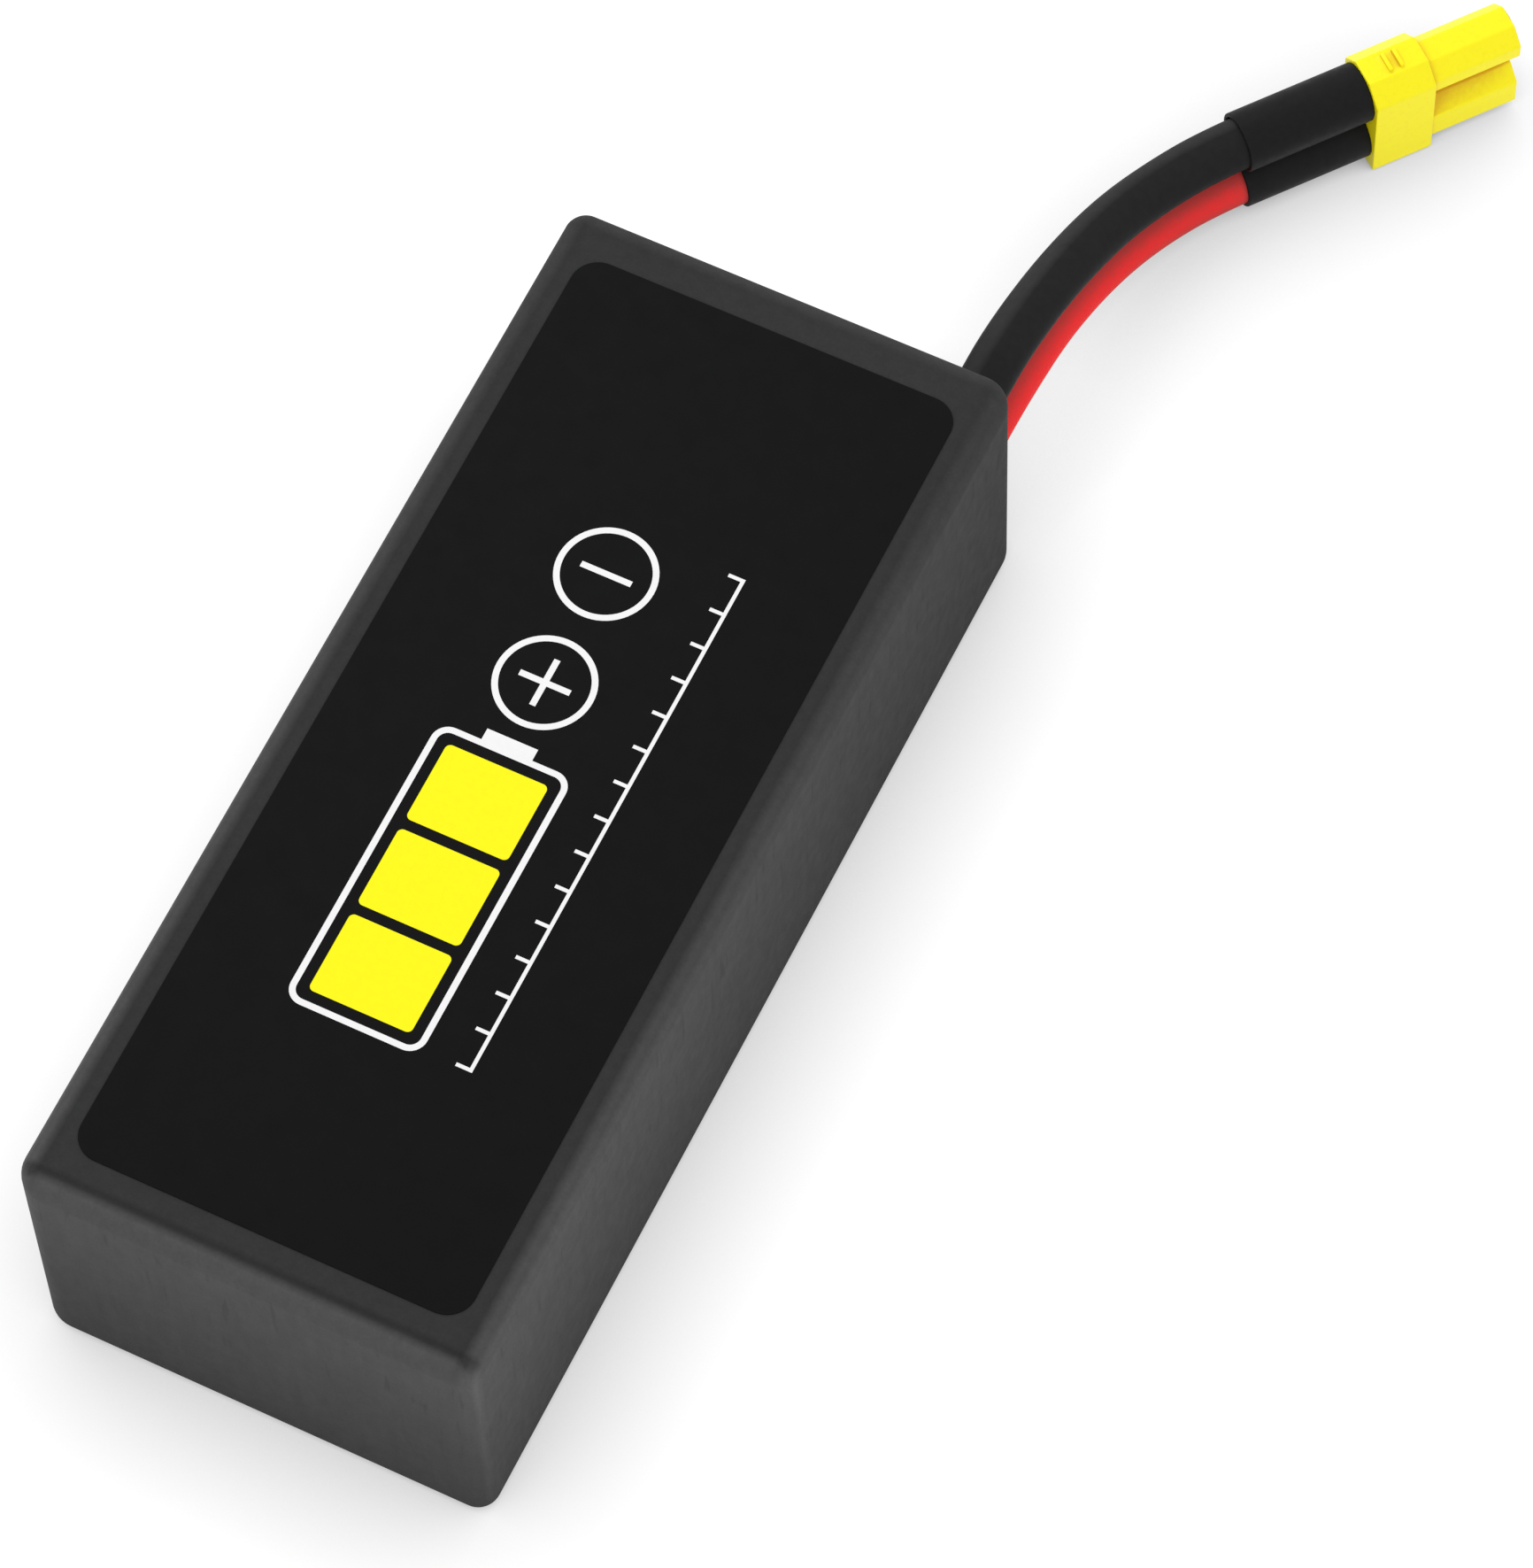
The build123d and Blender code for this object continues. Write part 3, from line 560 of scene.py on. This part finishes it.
def red_silicone_finish(colour, shaded_red_colour):
    """Red insulation with painted shade: full red where it lies open, a darker, duller red where something
    close by shelters it.
    """
    finish = silicone_finish("silicone_red", colour)
    # Painted shade: the lead turns to the shaded red where something within 6 mm shelters it, and faint
    # random patches vary the mix.
    unshaded_share = finish.remap(finish.open_share(reach=0.006), 0.64, 0.98)
    unshaded_share = finish.math("ADD", unshaded_share, silicone_bloom(finish, -0.12, 0.12))
    finish.colour_between(unshaded_share, shaded_red_colour, colour)
    return finish.material


def sleeve_finish(colour):
    finish = Finish("heat_shrink_satin", colour, roughness=0.5, specular=0.07)
    finish.tint(finish.grain(0.93, 1.08, scale=2200.0))
    finish.roughness_from(finish.grain(0.44, 0.56, scale=1200.0))
    finish.bump(finish.noise(1400.0), distance=0.00003, strength=0.4)
    return finish.material


def nylon_finish(colour, painted_shade_colour):
    """Moulded nylon with a fine spark-eroded grain, and painted shade: deeper in colour between the prongs
    and wherever else the housing shelters itself.
    """
    finish = Finish("yellow_nylon", colour, roughness=0.42, specular=0.2)
    # Painted shade: the nylon turns to the shade colour where the housing shelters itself within 6 mm, with
    # a fine random grain in the mix.
    open_share = finish.remap(finish.open_share(reach=0.006, own_only=True), 0.57, 0.87)
    grain = finish.grain(-0.08, 0.1, scale=2600.0, detail=3.0)
    finish.colour_between(finish.math("ADD", open_share, grain), painted_shade_colour, colour)
    finish.roughness_from(finish.grain(0.32, 0.46, scale=3000.0))
    finish.bump(finish.noise(9000.0), distance=0.00001, strength=0.4)
    return finish.material


def plastic_finish(name, colour, roughness):
    finish = Finish(name, colour, roughness)
    finish.roughness_from(finish.grain(roughness - 0.06, roughness + 0.06, scale=1800.0))
    finish.bump(finish.noise(6000.0), distance=0.00002, strength=0.5)
    return finish.material


def metal_finish(name, colour, roughness, stretch=(1, 1, 1)):
    finish = Finish(name, colour, roughness, metallic=1.0)
    streaks = finish.noise(3000.0, 3.0, stretch)
    finish.roughness_from(finish.remap(streaks, NOISE_LOW, NOISE_HIGH, roughness - 0.08, roughness + 0.1))
    finish.bump(streaks, distance=0.000008, strength=0.5)
    return finish.material


def foam_finish(name, colour):
    finish = Finish(name, colour, roughness=0.9)
    cells = finish.noise(2600.0, 4.0)
    # Painted shade and painted light: the colour is darker where the cells' bump lies low and paler where it
    # stands high.
    finish.colour_between(finish.remap(cells, 0.35, 0.65), shade(colour, 0.6), shade(colour, 1.3))
    finish.bump(cells, distance=0.0001, strength=0.8)
    return finish.material


# Pieces

class PACK_OT_stage(bpy.types.Operator):
    """Puts up the floor, the light and the camera."""

    bl_idname = "lipo_pack.stage"
    bl_label = "Stage"

    def execute(self, context):
        settings = context.scene.pack_stage
        self.add_floor(settings)
        self.add_sky(settings)
        self.add_lamp(settings)
        self.add_camera(context, settings)
        return {"FINISHED"}

    def add_floor(self, settings):
        bpy.ops.mesh.primitive_plane_add(size=settings.floor_size, location=(0, 0, 0))
        floor = bpy.context.active_object
        floor.name = "white_floor"
        material = bpy.data.materials.new("white_floor")
        material.use_nodes = True
        tree = material.node_tree
        plain = tree.nodes["Principled BSDF"]
        fill(plain, {"Base Color": (*[settings.floor_grey] * 3, 1.0), "Roughness": 0.9,
                     "Specular IOR Level": 0.0})
        # Painted shadow: to the camera the floor glows, darker where something within the shadow reach
        # shelters it, whatever the lamps do.
        open_share = add_node(tree, "ShaderNodeAmbientOcclusion", {"Distance": settings.shadow_reach})
        strength = add_math(tree, "POWER", open_share.outputs["AO"], settings.shadow_power)
        strength = add_math(tree, "MULTIPLY", strength, settings.floor_brightness)
        seen = add_node(tree, "ShaderNodeEmission", {"Strength": strength})
        self.choose(tree, self.is_seen(tree), plain.outputs["BSDF"], seen.outputs["Emission"])
        floor.data.materials.append(material)

    def is_seen(self, tree):
        """1 where the backdrop is looked at, straight, in a reflection or through something clear."""
        path = add_node(tree, "ShaderNodeLightPath")
        seen = path.outputs["Is Camera Ray"]
        for name in ("Is Glossy Ray", "Is Transmission Ray"):
            seen = add_math(tree, "MAXIMUM", seen, path.outputs[name])
        return seen

    def choose(self, tree, share, first, second):
        """Gives the output the second shader where the share is 1, and the first elsewhere."""
        choice = add_node(tree, "ShaderNodeMixShader", {"Fac": share, 1: first, 2: second})
        output = next(node for node in tree.nodes if node.name.endswith("Output"))
        fill(output, {"Surface": choice.outputs["Shader"]})

    def add_sky(self, settings):
        world = bpy.data.worlds.new("studio")
        world.use_nodes = True
        tree = world.node_tree
        direction = add_node(tree, "ShaderNodeTexCoord").outputs["Generated"]
        height = add_node(tree, "ShaderNodeSeparateXYZ", {"Vector": direction}).outputs["Z"]
        strength = add_node(tree, "ShaderNodeMapRange", {
            "Value": height, "To Min": settings.horizon_strength, "To Max": settings.zenith_strength})
        soft = tree.nodes["Background"]
        fill(soft, {"Color": (1, 1, 1, 1), "Strength": strength.outputs["Result"]})
        white = add_node(tree, "ShaderNodeBackground", {"Color": (1, 1, 1, 1), "Strength": 1.0})
        is_camera = add_node(tree, "ShaderNodeLightPath").outputs["Is Camera Ray"]
        self.choose(tree, is_camera, soft.outputs["Background"], white.outputs["Background"])
        bpy.context.scene.world = world

    def add_lamp(self, settings):
        data = bpy.data.lights.new("rear_lamp", "AREA")
        data.shape = "DISK"
        data.size = settings.lamp_size
        data.energy = settings.lamp_power
        lamp = bpy.data.objects.new("rear_lamp", data)
        bpy.context.scene.collection.objects.link(lamp)
        lamp.location = settings.lamp_place
        lamp.rotation_euler = (-lamp.location).to_track_quat("-Z", "Y").to_euler()
        lamp.visible_camera = False

    def add_camera(self, context, settings):
        data = bpy.data.cameras.new("camera")
        data.lens = settings.lens
        data.sensor_width = 36.0
        data.sensor_fit = "AUTO"
        data.clip_start = 0.01
        camera = bpy.data.objects.new("camera", data)
        context.scene.collection.objects.link(camera)
        tilt = math.pi / 2 - settings.elevation
        turn = Matrix.Rotation(settings.azimuth, 4, "Z") @ Matrix.Rotation(tilt, 4, "X")
        turn = turn @ Matrix.Rotation(settings.roll, 4, "Z")
        camera.matrix_world = Matrix.Translation(settings.camera_place) @ turn
        context.scene.camera = camera
        context.scene.view_settings.view_transform = "Standard"


class PACK_OT_leads(bpy.types.Operator):
    """Lays the two silicone leads on their routes."""

    bl_idname = "lipo_pack.leads"
    bl_label = "Leads"

    def execute(self, context):
        settings = context.scene.pack_leads
        self.add_lead("black_lead", NEGATIVE_ROUTE, "negative_lead", "black_silicone",
                      black_silicone_finish(settings.black), settings.diameter)
        self.add_lead("red_lead", POSITIVE_ROUTE, "positive_lead", "red_silicone",
                      red_silicone_finish(settings.red, settings.shaded_red), settings.diameter)
        return {"FINISHED"}

    def add_lead(self, name, route, node, slot, material, diameter):
        data = bpy.data.curves.new(name, "CURVE")
        data.dimensions = "3D"
        data.bevel_depth = diameter / 2
        data.bevel_resolution = 12
        data.resolution_u = 24
        data.use_fill_caps = True
        spline = data.splines.new("NURBS")
        spline.points.add(len(route) - 1)
        for point, offset in zip(spline.points, route):
            point.co = (*(LEAD_EXIT + Vector(offset)), 1.0)
        spline.order_u = 3
        spline.use_endpoint_u = True
        lead = bpy.data.objects.new(name, data)
        bpy.context.scene.collection.objects.link(lead)
        finish_piece(lead, material, slot, node)


class PACK_OT_film(bpy.types.Operator):
    """Shapes the film: a rounded shell, open at the rear inside a folded lip."""

    bl_idname = "lipo_pack.film"
    bl_label = "Shrink film"

    def execute(self, context):
        settings = context.scene.pack_film
        film = add_block("film_skin", film_low, film_high)
        for side, radius in ((1, settings.corner_radius), (-1, settings.tight_corner_radius)):
            bevel_edges(film, lambda edge: edge_runs_along(edge, up)
                        and side * edge_middle(edge).x * edge_middle(edge).y > 0, radius, segments=10)
        for rim, radius in ((film_low.z, settings.foot_radius), (film_high.z, settings.edge_radius)):
            bevel_edges(film, lambda edge: abs(level_of(edge) - rim) < SAME_PLACE, radius, segments=8)
        wall = film.modifiers.new("Film", "SOLIDIFY")
        wall.thickness = settings.thickness
        wall.offset = -1.0
        apply_modifiers(film)
        combine(film, self.openings(settings), "DIFFERENCE")
        soften(film, settings.thickness / 5, segments=2, angle=math.radians(60))
        smooth(film)
        finish_piece(film, film_finish(settings), "shrink_film", "shrink_jacket")
        return {"FINISHED"}

    def openings(self, settings):
        """The cutters for the rear opening and for the notch round the grommet."""
        near = film_high.y - settings.corner_radius
        far = film_high.y + settings.corner_radius
        cutters = []
        for low, high, inset in ((film_low, film_high, settings.lip),
                                 (grommet_low, grommet_high, -settings.notch_clearance)):
            cutter = add_block("cutter", (low.x + inset, near, low.z + inset),
                               (high.x - inset, far, high.z - inset))
            bevel_edges(cutter, lambda edge: edge_runs_along(edge, ALONG_Y), settings.opening_radius,
                        segments=8)
            cutters.append(cutter)
        return cutters


def level_of(edge):
    """The height of a level edge, or a height that matches no rim."""
    first, second = (vert.co.z for vert in edge.verts)
    return first if abs(first - second) < SAME_PLACE else math.inf


class PACK_OT_label(bpy.types.Operator):
    """Lays the label on the top, with plain bars and lines printed on it."""

    bl_idname = "lipo_pack.label"
    bl_label = "Label"

    def execute(self, context):
        settings = context.scene.pack_label
        top = label_high.z - settings.print_height
        label = add_block("label_sticker", label_low, (label_high.x, label_high.y, top))
        bevel_edges(label, lambda edge: edge_runs_along(edge, up), settings.corner_radius, segments=12)
        smooth(label)
        finish_piece(label, label_finish(settings.colour), "label_print", "label")
        self.add_print("yellow_print", self.bars(settings), settings.yellow)
        self.add_print("white_print", [self.outline(settings), *self.signs(settings), self.scale(settings)],
                       settings.white)
        return {"FINISHED"}

    def patch(self, settings, middle, size, radius=0.0, spare=0.0):
        """A printed rectangle on the label. A cutter has some height to spare."""
        bottom = label_high.z - settings.print_height - spare
        low = (middle[0] - size[0] / 2, middle[1] - size[1] / 2, bottom)
        high = (middle[0] + size[0] / 2, middle[1] + size[1] / 2, label_high.z + spare)
        patch = add_block("patch", low, high)
        if radius:
            bevel_edges(patch, lambda edge: edge_runs_along(edge, up), radius, segments=8)
        return patch

    def disc(self, settings, middle, radius, spare=0.0):
        bottom = label_high.z - settings.print_height - spare
        return add_rod("disc", radius, bottom, label_high.z + spare, middle)

    def add_print(self, name, patches, colour):
        """Joins the patches of one ink into one piece."""
        bpy.ops.object.select_all(action="DESELECT")
        for patch in patches:
            patch.select_set(True)
        bpy.context.view_layer.objects.active = patches[0]
        bpy.ops.object.join()
        patches[0].name = patches[0].data.name = name
        finish_piece(patches[0], ink_finish(name, colour), "label_print")

    def bars(self, settings):
        """The gauge's bars, one for each cell."""
        step = settings.bar_length + settings.bar_gap
        return [self.patch(settings, (settings.middle_x, settings.gauge_y + place * step),
                           (settings.bar_width, settings.bar_length), settings.bar_gap / 2)
                for place in (-1, 0, 1)]

    def half_gauge(self, settings):
        """Half the length of the room inside the line round the three bars."""
        return 1.5 * settings.bar_length + 2 * settings.bar_gap

    def outline(self, settings):
        """The line round the bars, with a terminal toward the leads."""
        middle = (settings.middle_x, settings.gauge_y)
        inner = (settings.bar_width + 2 * settings.bar_gap, 2 * self.half_gauge(settings))
        outer = tuple(side + 2 * settings.line_width for side in inner)
        outline = self.patch(settings, middle, outer, settings.bar_gap + settings.line_width)
        hollow = self.patch(settings, middle, inner, settings.bar_gap, settings.print_height)
        combine(outline, [hollow], "DIFFERENCE")
        terminal_place = (settings.middle_x, settings.gauge_y + outer[1] / 2 + settings.line_width / 2)
        terminal = self.patch(settings, terminal_place, (settings.bar_width / 2, 3 * settings.line_width))
        combine(outline, [terminal], "UNION")
        return outline

    def ring_y(self, settings, place):
        """Where the first or the second ring stands along the label."""
        first = (settings.gauge_y + self.half_gauge(settings) + 2 * settings.line_width
                 + 2 * settings.bar_gap + settings.ring_radius)
        return first + place * settings.ring_pitch

    def signs(self, settings):
        """A plus and a minus, each in a ring, between the gauge and the leads."""
        signs = []
        for place, has_upright in enumerate((True, False)):
            middle = (settings.middle_x, self.ring_y(settings, place))
            ring = self.disc(settings, middle, settings.ring_radius)
            inner_radius = settings.ring_radius - settings.line_width
            hollow = self.disc(settings, middle, inner_radius, settings.print_height)
            combine(ring, [hollow], "DIFFERENCE")
            stroke = self.patch(settings, middle, (settings.sign_size, settings.line_width))
            signs += [ring, stroke]
            if has_upright:
                upright = self.patch(settings, middle, (settings.line_width, settings.sign_size))
                combine(stroke, [upright], "UNION")
        return signs

    def scale(self, settings):
        """A fine line beside the gauge and the signs, with even ticks."""
        start = settings.gauge_y - self.half_gauge(settings)
        end = self.ring_y(settings, 1) + settings.ring_radius
        line = settings.fine_line
        rule = self.patch(settings, (settings.scale_x, (start + end) / 2), (line, end - start))
        pitch = (end - start - line) / (settings.tick_count - 1)
        for place in range(settings.tick_count):
            middle = (settings.scale_x - settings.tick_length / 2, start + line / 2 + place * pitch)
            tick = self.patch(settings, middle, (settings.tick_length, line))
            combine(rule, [tick], "UNION")
        return rule


class PACK_OT_grommet(bpy.types.Operator):
    """Moulds the rubber boot that holds both leads in the rear wall."""

    bl_idname = "lipo_pack.grommet"
    bl_label = "Grommet"

    def execute(self, context):
        settings = context.scene.pack_grommet
        case_rear = grommet_high.y - settings.boot
        boot = self.rounded(settings, "grommet_boot", settings.overlap, grommet_low.y, grommet_high.y)
        bevel_edges(boot, lambda edge: edge_middle(edge).y > grommet_high.y - SAME_PLACE,
                    settings.end_rounding, segments=4)
        flange = self.rounded(settings, "flange", 0, case_rear, case_rear + settings.flange)
        half_lug = settings.lug_width / 2
        lugs = add_block("lugs", (LEAD_EXIT.x - half_lug, grommet_low.y, grommet_low.z),
                         (LEAD_EXIT.x + half_lug, grommet_low.y + settings.flange, grommet_high.z))
        combine(boot, [flange, lugs], "UNION")
        combine(boot, [self.hole(settings, route[0][2]) for route in (NEGATIVE_ROUTE, POSITIVE_ROUTE)],
                "DIFFERENCE")
        soften(boot, settings.end_rounding / 5, segments=2, angle=math.radians(50))
        smooth(boot)
        finish_piece(boot, plastic_finish("grommet_rubber", settings.colour, roughness=0.62),
                     "grommet_rubber", "lead_grommet")
        return {"FINISHED"}

    def rounded(self, settings, name, inset, near, far):
        """A block of the grommet's width with round corners, between two places along Y."""
        block = add_block(name, (grommet_low.x, near, grommet_low.z + inset),
                          (grommet_high.x, far, grommet_high.z - inset))
        bevel_edges(block, lambda edge: edge_runs_along(edge, ALONG_Y), settings.corner_radius, segments=8)
        return block

    def hole(self, settings, height):
        well_past_boot = 0.05
        hole = add_rod("hole", settings.hole_diameter / 2, -well_past_boot, well_past_boot)
        hole.location = LEAD_EXIT + Vector((0, 0, height))
        hole.rotation_euler.x = math.pi / 2
        settle(hole)
        return hole


class PACK_OT_sleeves(bpy.types.Operator):
    """Shrinks a sleeve over the end of each lead."""

    bl_idname = "lipo_pack.sleeves"
    bl_label = "Sleeves"

    def execute(self, context):
        settings = context.scene.pack_leads
        material = sleeve_finish(settings.sleeve_colour)
        self.add_sleeve("black_lead_sleeve", 1, "negative_sleeve", settings, material)
        self.add_sleeve("red_lead_sleeve", -1, "positive_sleeve", settings, material)
        return {"FINISHED"}

    def add_sleeve(self, name, side, node, settings, material):
        radius = settings.sleeve_diameter / 2
        sleeve = add_rod(name, radius, -settings.sleeve_length, 0.0, sides=48)
        inner = add_rod("inner", radius - settings.sleeve_wall, -2 * settings.sleeve_length,
                        settings.sleeve_length, sides=48)
        combine(sleeve, [inner], "DIFFERENCE")
        soften(sleeve, settings.sleeve_wall / 3, segments=3)
        sleeve.location = (side * contact_pitch / 2, 0, 0)
        settle(sleeve)
        sleeve.matrix_world = connector_frame
        settle(sleeve)
        smooth(sleeve)
        finish_piece(sleeve, material, "sleeve_plastic", node)


class PACK_OT_connector(bpy.types.Operator):
    """Moulds the yellow housing: a keyed collar with two bored prongs."""

    bl_idname = "lipo_pack.connector"
    bl_label = "Connector"

    def execute(self, context):
        settings = context.scene.pack_connector
        housing = self.collar(settings)
        combine(housing, [self.prong(settings, 1), self.prong(settings, -1)], "UNION")
        combine(housing, self.grips(settings), "UNION")
        end = settings.collar_length + settings.prong_length
        bores = [add_rod("bore", settings.bore_diameter / 2, -end, 2 * end, (side * contact_pitch / 2, 0))
                 for side in (1, -1)]
        combine(housing, bores, "DIFFERENCE")
        bevel_edges(housing, lambda edge: self.is_mouth(settings, edge), settings.mouth_chamfer)
        soften(housing, settings.edge_softening, segments=2)
        housing.matrix_world = connector_frame
        settle(housing)
        smooth(housing)
        finish_piece(housing, nylon_finish(settings.colour, settings.painted_shade_colour), "connector_nylon",
                     "connector_housing")
        return {"FINISHED"}

    def is_mouth(self, settings, edge):
        """Whether an edge lies on the rim of a bore at a prong's end."""
        end = settings.collar_length + settings.prong_length
        from_axis = [math.hypot(abs(vert.co.x) - contact_pitch / 2, vert.co.y) for vert in edge.verts]
        bore_radius = settings.bore_diameter / 2
        return (all(abs(vert.co.z - end) < SAME_PLACE for vert in edge.verts)
                and all(abs(distance - bore_radius) < 10 * SAME_PLACE for distance in from_axis))

    def collar(self, settings):
        half_height = settings.collar_height / 2
        half_thickness = settings.collar_thickness / 2
        collar = add_block("plug_housing", (-half_height, -half_thickness, 0),
                           (half_height, half_thickness, settings.collar_length))
        bevel_edges(collar, lambda edge: edge_runs_along(edge, up) and edge_middle(edge).x > 0,
                    settings.collar_chamfer)
        return collar

    def prong(self, settings, side):
        """The upper prong is chamfered all round, the lower one only inside."""
        middle = side * contact_pitch / 2
        half_height = settings.prong_height / 2
        half_thickness = settings.prong_thickness / 2
        start = settings.collar_length / 2
        end = settings.collar_length + settings.prong_length
        prong = add_block("prong", (middle - half_height, -half_thickness, start),
                          (middle + half_height, half_thickness, end))
        bevel_edges(prong, lambda edge: edge_runs_along(edge, up)
                    and (side > 0 or edge_middle(edge).x > middle), settings.prong_chamfer)
        return prong

    def grips(self, settings):
        half_length = settings.collar_thickness / 2 - settings.collar_chamfer - settings.grip_end
        top = settings.collar_height / 2
        ribs = []
        for side in (-0.5, 0.5):
            middle = settings.collar_length / 2 + side * settings.grip_pitch
            low = (top - settings.grip_height, -half_length, middle - settings.grip_width / 2)
            high = (top + settings.grip_height, half_length, middle + settings.grip_width / 2)
            ribs.append(add_block("grip", low, high))
        return ribs


class PACK_OT_inner_finishes(bpy.types.Operator):
    """Gives every CAD node that stays its own finish."""

    bl_idname = "lipo_pack.inner_finishes"
    bl_label = "Inner finishes"

    def execute(self, context):
        for finish, *names in (
            (plastic_finish("tray_plastic", (0.018, 0.018, 0.019), 0.5), "tray", "tray_lid"),
            (metal_finish("pouch_foil", (0.62, 0.63, 0.65), 0.35), "cell_bottom", "cell_middle", "cell_top"),
            (foam_finish("black_foam", (0.05, 0.05, 0.055)), "top_pad", "front_pad"),
            (plastic_finish("adhesive_tape", (0.78, 0.77, 0.72), 0.6),
             "base_pad", "cell_tape_lower", "cell_tape_upper"),
            (metal_finish("tab_aluminium", (0.78, 0.79, 0.8), 0.3, (1, 8, 1)), "aluminium_tabs"),
            (metal_finish("tab_nickel", (0.62, 0.6, 0.55), 0.3, (1, 8, 1)), "nickel_tabs", "tap_strips"),
            (plastic_finish("seal_strip", (0.06, 0.22, 0.5), 0.45), "tab_seals"),
            (plastic_finish("insulation_paper", (0.35, 0.45, 0.5), 0.75), "insulation_sheet"),
            (plastic_finish("solder_mask", (0.01, 0.13, 0.05), 0.35), "protection_board"),
            (plastic_finish("chip_epoxy", (0.015, 0.015, 0.016), 0.45),
             "mosfets", "protection_chip", "filter_resistors"),
            (metal_finish("sense_alloy", (0.4, 0.34, 0.3), 0.4), "sense_resistors"),
            (plastic_finish("capacitor_ceramic", (0.42, 0.3, 0.18), 0.5), "filter_capacitors"),
            (metal_finish("tinned_copper", (0.66, 0.64, 0.6), 0.3, (8, 1, 8)),
             "board_conductors", "cup_conductors"),
            (metal_finish("solder_bright", (0.7, 0.7, 0.7), 0.2), "tap_solder", "lead_solder"),
            (metal_finish("gold_plating", (0.9, 0.66, 0.25), 0.2), "negative_contact", "positive_contact"),
        ):
            for name in names:
                for slot in frame["nodes"][name].material_slots:
                    slot.material = finish
        return {"FINISHED"}


class PACK_OT_declare_leads(bpy.types.Operator):
    """Returns at once and does nothing to the leads."""

    bl_idname = "lipo_pack.declare_leads"
    bl_label = "Declare leads"

    def execute(self, context):
        return {"FINISHED"}


class PACK_PT_panel(bpy.types.Panel):
    """The pack's pieces, in the order in which they are made."""

    bl_idname = "PACK_PT_panel"
    bl_label = "Lipo pack"
    bl_space_type = "VIEW_3D"
    bl_region_type = "UI"
    bl_category = "Lipo pack"

    def draw(self, context):
        for name, _ in SETTINGS:
            box = self.layout.box()
            group = getattr(context.scene, name)
            box.label(text=name.replace("_", " "))
            for field in group.__annotations__:
                box.prop(group, field)
        for operator in OPERATORS:
            self.layout.operator(operator.bl_idname)


SETTINGS = (
    ("pack_film", FilmSettings),
    ("pack_label", LabelSettings),
    ("pack_leads", LeadSettings),
    ("pack_grommet", GrommetSettings),
    ("pack_connector", ConnectorSettings),
    ("pack_stage", StageSettings),
)
OPERATORS = (
    PACK_OT_stage,
    PACK_OT_leads,
    PACK_OT_film,
    PACK_OT_label,
    PACK_OT_grommet,
    PACK_OT_sleeves,
    PACK_OT_connector,
    PACK_OT_inner_finishes,
    PACK_OT_declare_leads,
)


def register():
    for name, group in SETTINGS:
        bpy.utils.register_class(group)
        setattr(bpy.types.Scene, name, PointerProperty(type=group))
    for operator in OPERATORS:
        bpy.utils.register_class(operator)
    bpy.utils.register_class(PACK_PT_panel)


def unregister():
    bpy.utils.unregister_class(PACK_PT_panel)
    for operator in reversed(OPERATORS):
        bpy.utils.unregister_class(operator)
    for name, group in reversed(SETTINGS):
        delattr(bpy.types.Scene, name)
        bpy.utils.unregister_class(group)


def main():
    register()
    for operator in OPERATORS:
        name = operator.bl_idname.split(".")[1]
        getattr(bpy.ops.lipo_pack, name)()


if __name__ == "__main__":
    main()
